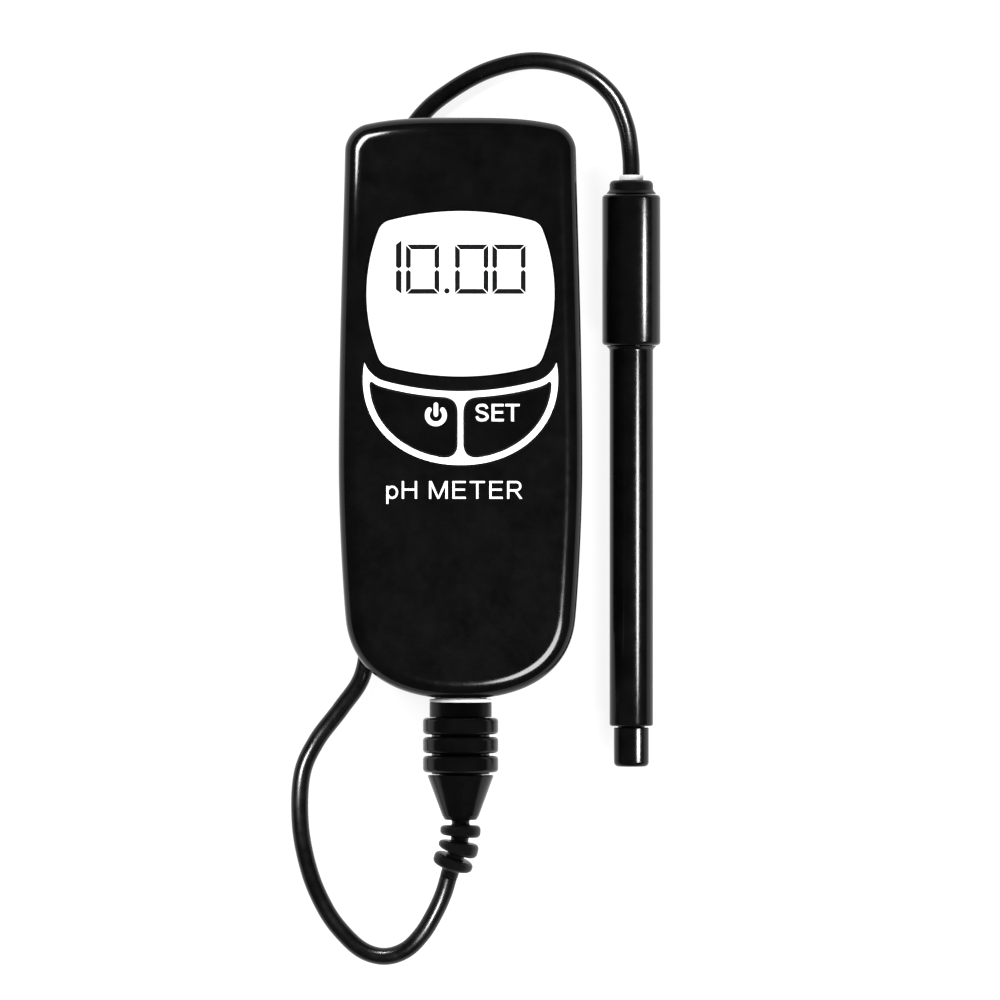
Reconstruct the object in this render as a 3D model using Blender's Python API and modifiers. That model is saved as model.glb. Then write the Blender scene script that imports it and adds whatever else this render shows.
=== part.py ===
"""Portable pH meter with a plug-in combination electrode.

The meter lies on its back: +Z is the way the display faces, +Y its top end.
The origin is on the flat face it rests on.  Lengths below are millimetres.
"""
import math

import bmesh
import bpy
from mathutils import Matrix, Vector
from mathutils.geometry import interpolate_bezier

MM = 0.001
GAP = 0.3                   # clearance between neighbouring pieces

# ---- case -------------------------------------------------------------
CASE_TOP = 30.0             # front face
CASE_UNDER = 6.2            # underside of the flanks, above the resting face
PARTING = 17.0              # height where the two case halves meet
WALL = 2.4                  # side walls
FRONT_WALL = 2.0
REAR_WALL = 2.2
FRONT_ROUND = 5.0
REAR_ROUND = 4.0
HALF_LENGTH = 77.0
# Right half of the outline: knot, handle before, handle after, points to the next knot.
CASE_KNOTS = (
    ((0.0, 77.0), None, (11.5, 77.0), 7),
    ((25.0, 75.25), (17.4, 76.9), (28.1, 74.55), 6),
    ((30.6, 68.3), (30.5, 71.4), (31.1, 43.6), 6),
    ((32.3, -14.4), (32.3, 16.2), (32.3, -29.0), 5),
    ((30.4, -56.0), (31.1, -49.2), (29.1, -68.8), 9),
    ((0.0, -77.0), (18.9, -77.0), None, 0),
)

# ---- battery bay on the back -------------------------------------------
HUMP_HALF = 20.0
HUMP_Y = (-60.0, 40.0)
HUMP_ROUND = 4.0
BAY_HALF = 16.6
BAY_Y = (-57.3, -5.8)
BAY_CEILING = 14.2
BAY_WALL = 1.5
CELL_RADIUS = 5.25
CELL_LENGTH = 44.5
CELL_PITCH = 10.9
CELL_AXIS_Z = 8.5
CONTACT_THICK = 0.4
DOOR_Z = (0.4, 1.3, 2.2)    # underside, tongue, upper face
DOOR_HALF = 16.6
TONGUE_HALF = 17.9
DOOR_Y = (-59.9, -3.0)

# ---- display ------------------------------------------------------------
WINDOW_CENTRE_Y = 30.3
WINDOW_HALF = (25.0, 22.0)
WINDOW_SIDE_RADIUS = 46.5   # bulge of the sides
WINDOW_END_RADIUS = 73.0    # bulge of the top and bottom
WINDOW_CORNER = 4.2
WINDOW_THICK = 0.9
WINDOW_LEDGE = 1.6
LCD_HALF = 23.6
LCD_Y = (10.6, 50.0)
LCD_Z = (25.4, 27.7)
FRAME_HALF = 25.4
FRAME_Y = (8.8, 51.8)

# ---- keypad: a bowl cut off by a curve that runs parallel to the display -----
BOWL_CENTRE_Y = 7.6
BOWL_HALF = (25.8, 22.6)
BOWL_POWER = 2.1
BROW_GAP = 3.8              # from the window down to the bezel
KEY_MARGIN = 1.95
KEY_DIVIDER = 1.03          # half the bar between the keys
KEY_CORNERS = (3.8, 1.4, 3.7)   # lower inner, outer, upper inner
KEY_TOP = 30.6
KEY_FLANGE = 0.7
KEY_TRAVEL = 0.8
KEY_POST = (11.9, -4.1)

# ---- circuit board --------------------------------------------------------
BOARD_Z = (19.0, 20.6)
BOARD_HALF = 26.0
BOARD_Y = (-54.0, 68.0)
CASE_BOSSES = ((-25.0, 64.0), (25.0, 64.0), (-24.5, -52.0), (24.5, -52.0))
BOARD_POSTS = ((-12.0, 62.0), (12.0, 62.0), (-18.0, -40.0), (18.0, -40.0))

# ---- socket and plug, turned about a line along Y at the parting height -----------
PLUG_Z = PARTING
SOCKET_HOLE = 7.2
PIN_CIRCLE = 2.5
PIN_COUNT = 3
RIB_RADIUS = 10.0
RIB_FLOOR = 7.7
RIBS_Y = ((-82.0, -86.4), (-87.1, -91.4), (-92.1, -96.5))

# ---- electrode, lying on the table beside the meter -------------------------------
PROBE_X = 45.4
PROBE_Z = 5.85
HANDLE_RADIUS = 7.75
SHAFT_RADIUS = 5.8
CAP_RADIUS = 4.65
CORD_RADIUS = 2.3

# Middle of the cord from the plug to the electrode (x, y, z).
CORD_ROUTE = (
    (-3.2, -124.3, 15.2), (-4.6, -128.9, 13.9), (-6.9, -134.0, 12.2),
    (-10.2, -139.5, 10.1), (-14.6, -143.9, 8.0), (-20.2, -145.7, 6.1),
    (-26.0, -144.2, 4.5), (-31.3, -139.6, 3.3), (-36.0, -133.2, 2.6),
    (-40.2, -123.5, 2.4), (-42.7, -111.0, 2.4), (-42.3, -97.5, 2.4),
    (-38.4, -88.4, 2.4), (-31.8, -79.6, 2.4), (-26.2, -71.0, 2.4),
    (-24.6, -59.0, 2.4), (-24.6, -40.0, 2.4), (-24.6, -10.0, 2.4),
    (-24.6, 20.0, 2.4), (-24.3, 47.0, 2.4), (-20.3, 63.0, 2.4),
    (-11.2, 77.3, 2.4), (-2.7, 84.8, 2.4), (8.0, 90.5, 2.4),
    (19.9, 92.8, 2.4), (31.9, 90.1, 2.4), (40.0, 83.8, 2.8),
    (43.9, 75.6, 4.0), (45.2, 67.5, 5.4), (45.4, 61.1, 5.85),
)
# Middle of the bent strain relief (x, y, z), carrying on into the cord.
RELIEF_ROUTE = (
    (0.0, -104.0, 17.0), (0.0, -108.5, 17.0), (-0.05, -112.0, 16.95),
    (-0.6, -116.4, 16.7), (-2.0, -120.4, 16.1), (-3.1, -124.0, 15.3),
)


def collection(name):
    coll = bpy.data.collections.new(name)
    bpy.context.scene.collection.children.link(coll)
    return coll


for old in list(bpy.data.objects):
    bpy.data.objects.remove(old, do_unlink=True)
PARTS = collection("ph_meter")
CUTTERS = collection("cutters")


def material(name, colour, roughness, metallic=0.0):
    mat = bpy.data.materials.new(name)
    mat.use_nodes = True
    shader = mat.node_tree.nodes["Principled BSDF"]
    shader.inputs["Base Color"].default_value = (*colour, 1.0)
    shader.inputs["Roughness"].default_value = roughness
    shader.inputs["Metallic"].default_value = metallic
    mat.diffuse_color = (*colour, 1.0)
    return mat


BLACK = (0.012, 0.012, 0.013)
CHARCOAL = (0.03, 0.03, 0.032)
WHITE = (0.85, 0.85, 0.84)
STEEL = (0.62, 0.62, 0.63)
GOLD = (0.83, 0.62, 0.26)


def place(name, mesh, look, at=(0.0, 0.0, 0.0), cutter=False):
    """Put a mesh in the scene; a cutter takes no material and is not rendered."""
    obj = bpy.data.objects.new(name, mesh)
    obj.location = Vector(at) * MM
    if cutter:
        CUTTERS.objects.link(obj)
        obj.hide_render = True
        obj.display_type = 'WIRE'
        return obj
    PARTS.objects.link(obj)
    colour, roughness, metallic = look
    mesh.materials.clear()
    mesh.materials.append(material("mat_" + name, colour, roughness, metallic))
    return obj


def smooth(mesh):
    for face in mesh.polygons:
        face.use_smooth = True
    mesh.set_sharp_from_angle(angle=math.radians(35.0))


def boxes_mesh(name, boxes, at=(0.0, 0.0, 0.0)):
    """One mesh holding a box for each (x0, x1, y0, y1, z0, z1)."""
    bm = bmesh.new()
    for x0, x1, y0, y1, z0, z1 in boxes:
        size = Vector((x1 - x0, y1 - y0, z1 - z0)) * MM
        middle = Vector((x0 + x1, y0 + y1, z0 + z1)) * (0.5 * MM) - Vector(at) * MM
        matrix = Matrix.Translation(middle) @ Matrix.Diagonal((*size, 1.0))
        bmesh.ops.create_cube(bm, size=1.0, matrix=matrix)
    mesh = bpy.data.meshes.new(name)
    bm.to_mesh(mesh)
    bm.free()
    return mesh


def box(name, bounds, look, at=(0.0, 0.0, 0.0)):
    return place(name, boxes_mesh(name, [bounds], at), look, at)


def cut_boxes(name, boxes):
    return place(name, boxes_mesh(name, boxes), None, cutter=True)


def rods_mesh(name, rods, sides=24, along='Z'):
    """One mesh holding a cylinder for each (x, y, z0, z1, radius), or along Y (x, z, y0, y1, radius)."""
    bm = bmesh.new()
    for a, b, low, high, radius in rods:
        if along == 'Z':
            turn = Matrix.Identity(4)
            middle = Vector((a, b, (low + high) / 2.0)) * MM
        else:
            turn = Matrix.Rotation(math.radians(-90.0), 4, 'X')
            middle = Vector((a, (low + high) / 2.0, b)) * MM
        bmesh.ops.create_cone(bm, cap_ends=True, segments=sides, radius1=radius * MM,
                              radius2=radius * MM, depth=abs(high - low) * MM,
                              matrix=Matrix.Translation(middle) @ turn)
    mesh = bpy.data.meshes.new(name)
    bm.to_mesh(mesh)
    bm.free()
    return mesh


def cut_rods(name, rods, sides=24, along='Z'):
    return place(name, rods_mesh(name, rods, sides, along), None, cutter=True)


def plate_mesh(name, outline, z0, z1, holes=(), at=(0.0, 0.0, 0.0)):
    """A flat outline (with optional holes) given thickness, as a welded mesh."""
    curve = bpy.data.curves.new(name, 'CURVE')
    curve.dimensions = '2D'
    curve.fill_mode = 'BOTH'
    curve.extrude = 0.5 * (z1 - z0) * MM
    for loop in (outline, *holes):
        spline = curve.splines.new('POLY')
        spline.points.add(len(loop) - 1)
        for point, (x, y) in zip(spline.points, loop):
            point.co = ((x - at[0]) * MM, (y - at[1]) * MM, 0.0, 1.0)
        spline.use_cyclic_u = True
    holder = bpy.data.objects.new(name, curve)
    CUTTERS.objects.link(holder)
    bpy.context.view_layer.update()
    flat = holder.evaluated_get(bpy.context.evaluated_depsgraph_get())
    mesh = bpy.data.meshes.new_from_object(flat)
    bpy.data.objects.remove(holder, do_unlink=True)
    bpy.data.curves.remove(curve)
    bm = bmesh.new()
    bm.from_mesh(mesh)
    bmesh.ops.remove_doubles(bm, verts=bm.verts, dist=1e-7)
    bmesh.ops.translate(bm, verts=bm.verts, vec=(0.0, 0.0, (0.5 * (z0 + z1) - at[2]) * MM))
    if not holes:
        bmesh.ops.dissolve_limit(bm, angle_limit=math.radians(0.2), verts=bm.verts,
                                 edges=bm.edges)
    bmesh.ops.recalc_face_normals(bm, faces=bm.faces)
    bm.to_mesh(mesh)
    bm.free()
    return mesh


def plate(name, outline, z0, z1, look, holes=(), at=(0.0, 0.0, 0.0)):
    return place(name, plate_mesh(name, outline, z0, z1, holes, at), look, at)


def cut_plate(name, outline, z0, z1, holes=()):
    return place(name, plate_mesh(name, outline, z0, z1, holes), None, cutter=True)


def round_edges(obj, width, segments, chosen):
    """Bevel the edges whose two ends pass the test chosen(a, b), in millimetres."""
    mesh = obj.data
    bm = bmesh.new()
    bm.from_mesh(mesh)
    weight = bm.edges.layers.float.get("bevel_weight_edge")
    if weight is None:
        weight = bm.edges.layers.float.new("bevel_weight_edge")
    for edge in bm.edges:
        a, b = (v.co / MM for v in edge.verts)
        edge[weight] = 1.0 if chosen(a, b) else 0.0
    bm.to_mesh(mesh)
    bm.free()
    bevel = obj.modifiers.new("Rounded edge", 'BEVEL')
    bevel.limit_method = 'WEIGHT'
    bevel.width = width * MM
    bevel.segments = segments
    bevel.use_clamp_overlap = False


def at_height(z):
    return lambda a, b: abs(a.z - z) < 1e-3 and abs(b.z - z) < 1e-3


def boolean(obj, cutter, operation='DIFFERENCE'):
    mod = obj.modifiers.new(cutter.name, 'BOOLEAN')
    mod.operation = operation
    mod.solver = 'EXACT'
    mod.object = cutter


def turned(name, profile, look, at=(0.0, 0.0, 0.0), steps=32, along='Y', closed=False):
    """Turn a profile of (radius, height) about Z, or about Y through the point at."""
    mesh = bpy.data.meshes.new(name)
    offset = at[1] if along == 'Y' else at[2]
    points = [(r * MM, 0.0, (h - offset) * MM) for r, h in profile]
    edges = [(i, i + 1) for i in range(len(points) - 1)]
    if closed:
        edges.append((len(points) - 1, 0))
    mesh.from_pydata(points, edges, [])
    obj = place(name, mesh, look, at)
    if along == 'Y':
        obj.rotation_euler = (math.radians(-90.0), 0.0, 0.0)
    screw = obj.modifiers.new("Turned", 'SCREW')
    screw.axis = 'Z'
    screw.steps = steps
    screw.render_steps = steps
    screw.use_merge_vertices = True
    screw.merge_threshold = 1e-6
    screw.use_smooth_shade = True
    return obj


def smooth_path(points, spacing):
    """Points at an even spacing along a smooth curve through the given ones."""
    pts = [Vector(p) for p in points]
    ends = [pts[0] * 2.0 - pts[1]] + pts + [pts[-1] * 2.0 - pts[-2]]
    fine = []
    for i in range(1, len(ends) - 2):
        p0, p1, p2, p3 = ends[i - 1:i + 3]
        first = (p2 - p0) / 6.0
        last = (p3 - p1) / 6.0
        piece = interpolate_bezier(p1, p1 + first, p2 - last, p2, 17)
        fine.extend(piece if not fine else piece[1:])
    travelled = [0.0]
    for a, b in zip(fine, fine[1:]):
        travelled.append(travelled[-1] + (b - a).length)
    count = max(2, round(travelled[-1] / spacing))
    evened = []
    k = 0
    for i in range(count + 1):
        want = travelled[-1] * i / count
        while k < len(fine) - 2 and travelled[k + 1] < want:
            k += 1
        share = (want - travelled[k]) / (travelled[k + 1] - travelled[k])
        evened.append(fine[k].lerp(fine[k + 1], share))
    return evened


def tube(name, points, radius, look, resolution=3, widths=None):
    """A round tube along a path; widths gives the radius at each point instead of one."""
    curve = bpy.data.curves.new(name, 'CURVE')
    curve.dimensions = '3D'
    curve.bevel_depth = radius * MM
    curve.bevel_resolution = resolution
    curve.use_fill_caps = True
    spline = curve.splines.new('POLY')
    spline.points.add(len(points) - 1)
    for i, (point, where) in enumerate(zip(spline.points, points)):
        point.co = (*(Vector(where) * MM), 1.0)
        point.radius = 1.0 if widths is None else widths[i] / radius
    obj = bpy.data.objects.new(name, curve)
    PARTS.objects.link(obj)
    colour, roughness, metallic = look
    curve.materials.append(material("mat_" + name, colour, roughness, metallic))
    return obj


# ---- outlines ----------------------------------------------------------------------
def offset(outline, distance):
    """Move a counter-clockwise outline outwards by a distance (inwards if negative)."""
    moved = []
    count = len(outline)
    for i, (x, y) in enumerate(outline):
        before = Vector(outline[i - 1])
        here = Vector((x, y))
        after = Vector(outline[(i + 1) % count])
        a = (here - before).normalized()
        b = (after - here).normalized()
        bisector = Vector((a.y + b.y, -a.x - b.x)).normalized()
        stretch = max(0.5, bisector.dot(Vector((a.y, -a.x))))
        moved.append(tuple(here + bisector * (distance / stretch)))
    return moved


def case_outline(inset=0.0):
    """The case seen from the front, counter-clockwise."""
    right = []
    for knot, following in zip(CASE_KNOTS, CASE_KNOTS[1:]):
        piece = interpolate_bezier(Vector(knot[0]), Vector(knot[2]), Vector(following[1]),
                                   Vector(following[0]), knot[3] + 1)
        right.extend(tuple(p)[:2] for p in piece[:-1])
    right.append(CASE_KNOTS[-1][0])
    left = [(-x, y) for x, y in right[1:-1]]
    loop = list(reversed(right)) + left
    return offset(loop, -inset) if inset else loop


def arc_meeting(centre_a, radius_a, centre_b, radius_b):
    """The lower right-hand point at the given distances from two centres."""
    a = Vector(centre_a)
    b = Vector(centre_b)
    apart = (b - a).length
    along = (apart ** 2 + radius_a ** 2 - radius_b ** 2) / (2.0 * apart)
    aside = math.sqrt(radius_a ** 2 - along ** 2)
    step = (b - a) / apart
    choices = [a + step * along + Vector((step.y, -step.x)) * aside * sign for sign in (1, -1)]
    return max(choices, key=lambda point: point.x - point.y)


# The window's lower right-hand quarter, measured from the window's middle, is an
# end arc, a corner arc and a side arc that run smoothly into one another.
SIDE_CENTRE = Vector((WINDOW_HALF[0] - WINDOW_SIDE_RADIUS, 0.0))
END_CENTRE = Vector((0.0, WINDOW_END_RADIUS - WINDOW_HALF[1]))
CORNER_CENTRE = arc_meeting(SIDE_CENTRE, WINDOW_SIDE_RADIUS - WINDOW_CORNER,
                            END_CENTRE, WINDOW_END_RADIUS - WINDOW_CORNER)
END_DIRECTION = (CORNER_CENTRE - END_CENTRE).normalized()
SIDE_DIRECTION = (CORNER_CENTRE - SIDE_CENTRE).normalized()


def window_outline(grow=0.0):
    """The window's outline grown by a distance, counter-clockwise."""
    end_angle = math.atan2(END_DIRECTION.y, END_DIRECTION.x)
    side_angle = math.atan2(SIDE_DIRECTION.y, SIDE_DIRECTION.x)
    arcs = ((END_CENTRE, WINDOW_END_RADIUS, -math.pi / 2, end_angle, 5),
            (CORNER_CENTRE, WINDOW_CORNER, end_angle, side_angle, 5),
            (SIDE_CENTRE, WINDOW_SIDE_RADIUS, side_angle, 0.0, 4))
    quarter = []
    for centre, radius, first, last, count in arcs:
        for i in range(count):
            angle = first + (last - first) * i / count
            quarter.append((centre.x + (radius + grow) * math.cos(angle),
                            centre.y + (radius + grow) * math.sin(angle)))
    quarter.append((WINDOW_HALF[0] + grow, 0.0))
    right = quarter + [(x, -y) for x, y in reversed(quarter[:-1])]
    loop = right + [(-x, y) for x, y in reversed(right[1:-1])]
    return [(x, y + WINDOW_CENTRE_Y) for x, y in loop]


def brow_y(x, grow):
    """Height of the lower edge of the grown window outline at a given x."""
    end_reach = END_DIRECTION.x * (WINDOW_END_RADIUS + grow)
    corner_reach = SIDE_CENTRE.x + SIDE_DIRECTION.x * (WINDOW_SIDE_RADIUS + grow)
    if abs(x) <= end_reach:
        centre = END_CENTRE
        radius = WINDOW_END_RADIUS + grow
    elif abs(x) <= corner_reach:
        centre = CORNER_CENTRE
        radius = WINDOW_CORNER + grow
    else:
        centre = SIDE_CENTRE
        radius = WINDOW_SIDE_RADIUS + grow
    drop = math.sqrt(max(0.0, radius ** 2 - (abs(x) - centre.x) ** 2))
    return WINDOW_CENTRE_Y + centre.y - drop


def bowl_point(angle, inset):
    c = math.cos(angle)
    s = math.sin(angle)
    return ((BOWL_HALF[0] - inset) * abs(c) ** (2.0 / BOWL_POWER),
            BOWL_CENTRE_Y + (BOWL_HALF[1] - inset) * math.copysign(abs(s) ** (2.0 / BOWL_POWER), s))


def bowl_and_brow(inset, start, bowl_steps=22, brow_steps=16):
    """Right-hand part of the bowl from x = start, up to the brow and back to x = start."""
    grow = BROW_GAP + inset
    low = -math.pi / 2
    first = low
    while bowl_point(first, inset)[0] < start:
        first += 0.0005
    last = 0.0
    while bowl_point(last, inset)[1] < brow_y(bowl_point(last, inset)[0], grow):
        last += 0.0005
    loop = []
    for i in range(bowl_steps + 1):
        loop.append(bowl_point(first + (last - first) * i / bowl_steps, inset))
    reach = loop[-1][0]
    for i in range(1, brow_steps + 1):
        x = start + (reach - start) * math.cos(0.5 * math.pi * i / brow_steps)
        loop.append((x, brow_y(x, grow)))
    return loop, bowl_steps


def bezel_outline():
    right, _ = bowl_and_brow(0.0, 0.0)
    return right + [(-x, y) for x, y in reversed(right[1:-1])]


def soften(loop, corners):
    """Replace the corners, given as {index: reach}, by curves that start a reach away."""
    count = len(loop)
    curves = {}
    dropped = set()
    for index, reach in corners.items():
        ends = []
        for step in (-1, 1):
            left = reach
            i = index
            while True:
                here = Vector(loop[i])
                after = Vector(loop[(i + step) % count])
                gap = (after - here).length
                if gap > left:
                    ends.append(here.lerp(after, left / gap))
                    break
                left -= gap
                i = (i + step) % count
                dropped.add(i)
        corner = Vector(loop[index])
        curves[index] = [tuple(ends[0].lerp(corner, t).lerp(corner.lerp(ends[1], t), t))
                         for t in (0.0, 0.2, 0.4, 0.6, 0.8, 1.0)]
    rounded = []
    for i, point in enumerate(loop):
        if i in curves:
            rounded.extend(curves[i])
        elif i not in dropped:
            rounded.append(point)
    return rounded


def key_outline(side):
    """Outline of one key, counter-clockwise; side is +1 for the right one, -1 for the left."""
    loop, tip = bowl_and_brow(KEY_MARGIN, KEY_DIVIDER)
    lower_inner, outer, upper_inner = KEY_CORNERS
    loop = soften(loop, {0: lower_inner, tip: outer, len(loop) - 1: upper_inner})
    if side < 0:
        loop = [(-x, y) for x, y in reversed(loop)]
    return loop


def rounded_rectangle(x0, x1, y0, y1, radius, steps=4):
    loop = []
    corners = ((x1 - radius, y1 - radius, 0.0), (x0 + radius, y1 - radius, 90.0),
               (x0 + radius, y0 + radius, 180.0), (x1 - radius, y0 + radius, 270.0))
    for cx, cy, start in corners:
        for i in range(steps + 1):
            angle = math.radians(start + 90.0 * i / steps)
            loop.append((cx + radius * math.cos(angle), cy + radius * math.sin(angle)))
    return loop


# ---- case halves ---------------------------------------------------------------------
OUTLINE = case_outline()
INNER = case_outline(WALL)
FRONT_INSIDE = CASE_TOP - FRONT_WALL
REAR_INSIDE = CASE_UNDER + REAR_WALL
SEAT = CASE_TOP - 1.2       # floor of the shallow recesses for the window and the bezel
PLASTIC = (BLACK, 0.3, 0.0)

front = plate("front_case", OUTLINE, PARTING + GAP / 2, CASE_TOP, PLASTIC)
round_edges(front, FRONT_ROUND, 5, at_height(CASE_TOP))
front_cavity = cut_plate("front_cavity", INNER, PARTING - 1.0, FRONT_INSIDE)
round_edges(front_cavity, FRONT_ROUND - WALL + 0.4, 3, at_height(FRONT_INSIDE))
boolean(front, front_cavity)
front_bosses = cut_rods("front_bosses", [(x, y, PARTING + GAP / 2, CASE_TOP - 1.0, 3.0)
                                         for x, y in CASE_BOSSES], 20)
boolean(front, front_bosses, 'UNION')
board_posts = cut_rods("board_posts", [(x, y, BOARD_Z[1] + GAP, CASE_TOP - 1.0, 2.4)
                                       for x, y in BOARD_POSTS], 16)
boolean(front, board_posts, 'UNION')
front_bores = cut_rods("front_bores", [(x, y, PARTING - 1.0, 25.5, 1.55)
                                       for x, y in CASE_BOSSES], 12)
boolean(front, front_bores)
post_bores = cut_rods("post_bores", [(x, y, BOARD_Z[1], 25.8, 1.3) for x, y in BOARD_POSTS], 12)
boolean(front, post_bores)
boolean(front, cut_plate("window_seat", window_outline(GAP), SEAT, CASE_TOP + 1.0))
boolean(front, cut_plate("window_aperture", window_outline(-WINDOW_LEDGE), FRONT_INSIDE - 1.0,
                         SEAT + 0.5))
BEZEL = bezel_outline()
boolean(front, cut_plate("bezel_seat", offset(BEZEL, GAP), SEAT, CASE_TOP + 1.0))
KEYS = {"power_button": key_outline(-1), "set_button": key_outline(1)}
for key_name, key_loop in KEYS.items():
    boolean(front, cut_plate(key_name + "_hole", offset(key_loop, GAP),
                             FRONT_INSIDE - 1.0, SEAT + 0.5))
socket_hole = cut_rods("socket_hole", [(0.0, PLUG_Z, -82.0, -66.0, SOCKET_HOLE)], 32, 'Y')
boolean(front, socket_hole)

rear = plate("rear_case", OUTLINE, CASE_UNDER, PARTING - GAP / 2, PLASTIC)
round_edges(rear, REAR_ROUND, 4, at_height(CASE_UNDER))
hump_outline = rounded_rectangle(-HUMP_HALF, HUMP_HALF, *HUMP_Y, HUMP_ROUND)
hump = cut_plate("hump", hump_outline, 0.0, REAR_INSIDE - 0.4)
round_edges(hump, 1.0, 2, at_height(0.0))
boolean(rear, hump, 'UNION')
rear_cavity = cut_plate("rear_cavity", INNER, REAR_INSIDE, PARTING + 1.0)
round_edges(rear_cavity, REAR_ROUND - WALL + 0.6, 3, at_height(REAR_INSIDE))
boolean(rear, rear_cavity)
boolean(rear, cut_plate("hump_hollow", rounded_rectangle(-17.6, 17.6, 0.5, 37.6, 2.0, 2),
                        REAR_WALL, REAR_INSIDE + 1.0))
BAY_BLOCK = (-BAY_HALF - BAY_WALL, BAY_HALF + BAY_WALL, BAY_Y[0] - BAY_WALL,
             BAY_Y[1] + BAY_WALL, REAR_INSIDE - 1.0, BAY_CEILING + BAY_WALL)
boolean(rear, cut_boxes("bay_block", [BAY_BLOCK]), 'UNION')
rear_bosses = cut_rods("rear_bosses", [(x, y, REAR_INSIDE - 1.0, PARTING - GAP / 2, 3.3)
                                       for x, y in CASE_BOSSES], 20)
boolean(rear, rear_bosses, 'UNION')
boolean(rear, cut_boxes("bay", [(-BAY_HALF, BAY_HALF, *BAY_Y, DOOR_Z[2] - 0.5, BAY_CEILING)]))
door_lip = DOOR_Z[1] - GAP
channel = [
    (-DOOR_HALF - GAP, DOOR_HALF + GAP, HUMP_Y[0] - 2.0, DOOR_Y[1] + GAP, -1.0, door_lip + 0.5),
]
boolean(rear, cut_boxes("door_opening", channel))
grooves = [
    (-TONGUE_HALF - GAP, TONGUE_HALF + GAP, HUMP_Y[0] - 2.0, DOOR_Y[1] + GAP, door_lip,
     DOOR_Z[2] + GAP),
]
boolean(rear, cut_boxes("door_grooves", grooves))
boolean(rear, cut_rods("rear_bores", [(x, y, 8.0, PARTING + 1.0, 1.6)
                                      for x, y in CASE_BOSSES], 12))
boolean(rear, cut_rods("screw_recesses", [(x, y, CASE_UNDER - 1.0, 9.4, 2.95)
                                          for x, y in CASE_BOSSES], 20))
boolean(rear, socket_hole)
gasket_groove = cut_plate("gasket_groove", case_outline(0.6), PARTING - GAP / 2 - 1.2,
                          PARTING + 1.0, holes=[case_outline(1.8)])
boolean(rear, gasket_groove)

gasket = plate("case_gasket", case_outline(0.9), PARTING - GAP / 2 - 0.9, PARTING - GAP / 2,
               (CHARCOAL, 0.8, 0.0), holes=[case_outline(1.5)])
gasket_gap = cut_rods("gasket_gap", [(0.0, PLUG_Z, -82.0, -66.0, SOCKET_HOLE + 0.3)], 32, 'Y')
boolean(gasket, gasket_gap)

# Case screws come up from the back into the front bosses.
CASE_SCREW = [(0.0, 24.6), (0.9, 24.6), (1.25, 24.0), (1.25, 9.1), (2.6, 9.1), (2.6, 7.4),
              (2.2, 7.0), (1.1, 7.0), (1.0, 8.2), (0.0, 8.2)]
for index, (x, y) in enumerate(CASE_BOSSES, 1):
    turned(f"case_screw_{index}", CASE_SCREW, (STEEL, 0.3, 1.0), (x, y, 0.0), 16, 'Z')

# ---- battery bay ------------------------------------------------------------------------
door = box("battery_door", (-DOOR_HALF, DOOR_HALF, *DOOR_Y, DOOR_Z[0], DOOR_Z[1] + 0.2),
           (BLACK, 0.4, 0.0), (0.0, -31.5, 1.3))
tongue = cut_boxes("door_tongue", [(-TONGUE_HALF, TONGUE_HALF, *DOOR_Y, DOOR_Z[1], DOOR_Z[2])])
boolean(door, tongue, 'UNION')
boolean(door, cut_boxes("door_grips", [(-6.0, 6.0, y, y + 0.9, 0.0, 0.8)
                                       for y in (-54.0, -52.0, -50.0, -48.0)]))

cell_y0 = BAY_Y[0] + 3 * GAP + CONTACT_THICK + 4.7
for index, (side, flip) in enumerate(((-1, 1), (0, -1), (1, 1)), 1):
    low = cell_y0 if flip > 0 else BAY_Y[0] + 2 * GAP + CONTACT_THICK
    high = low + CELL_LENGTH
    if flip > 0:
        profile = [(0.0, high), (1.9, high), (1.9, high - 1.0), (4.8, high - 1.0),
                   (CELL_RADIUS, high - 1.5), (CELL_RADIUS, low + 0.4), (4.8, low), (0.0, low)]
    else:
        profile = [(0.0, high), (4.8, high), (CELL_RADIUS, high - 0.4),
                   (CELL_RADIUS, low + 1.5), (4.8, low + 1.0), (1.9, low + 1.0), (1.9, low),
                   (0.0, low)]
    turned(f"battery_cell_{index}", profile, (CHARCOAL, 0.35, 0.3),
           (side * CELL_PITCH, 0.0, CELL_AXIS_Z), 20)

# Contact plates with a spring leaf wherever a cell's flat end faces them.
LEAF = 4.4
low_plate = BAY_Y[0] + GAP
high_plate = BAY_Y[1] - GAP
contacts = (
    ("contact_negative", (-15.2, -6.6), low_plate, 1, (-CELL_PITCH,)),
    ("contact_bridge_lower", (-4.3, 15.2), low_plate, 1, (CELL_PITCH,)),
    ("contact_bridge_upper", (-15.2, 4.3), high_plate, -1, (0.0,)),
    ("contact_positive", (6.6, 15.2), high_plate, -1, ()),
)
for name, (x0, x1), wall_y, inward, leaves in contacts:
    inner_y = wall_y + inward * CONTACT_THICK
    y0, y1 = sorted((wall_y, inner_y))
    sheet = box(name, (x0, x1, y0, y1, 4.0, 13.4), (STEEL, 0.3, 1.0))
    for middle in leaves:
        tip = inner_y + inward * LEAF
        y0, y1 = sorted((inner_y - inward * 0.2, tip))
        y2, y3 = sorted((tip, tip - inward * 0.4))
        arm = cut_boxes(name + "_arm", [(middle - 2.0, middle + 2.0, y0, y1, 11.6, 12.0)])
        foot = cut_boxes(name + "_foot", [(middle - 2.0, middle + 2.0, y2, y3, 6.5, 11.8)])
        boolean(sheet, arm, 'UNION')
        boolean(sheet, foot, 'UNION')

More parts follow.
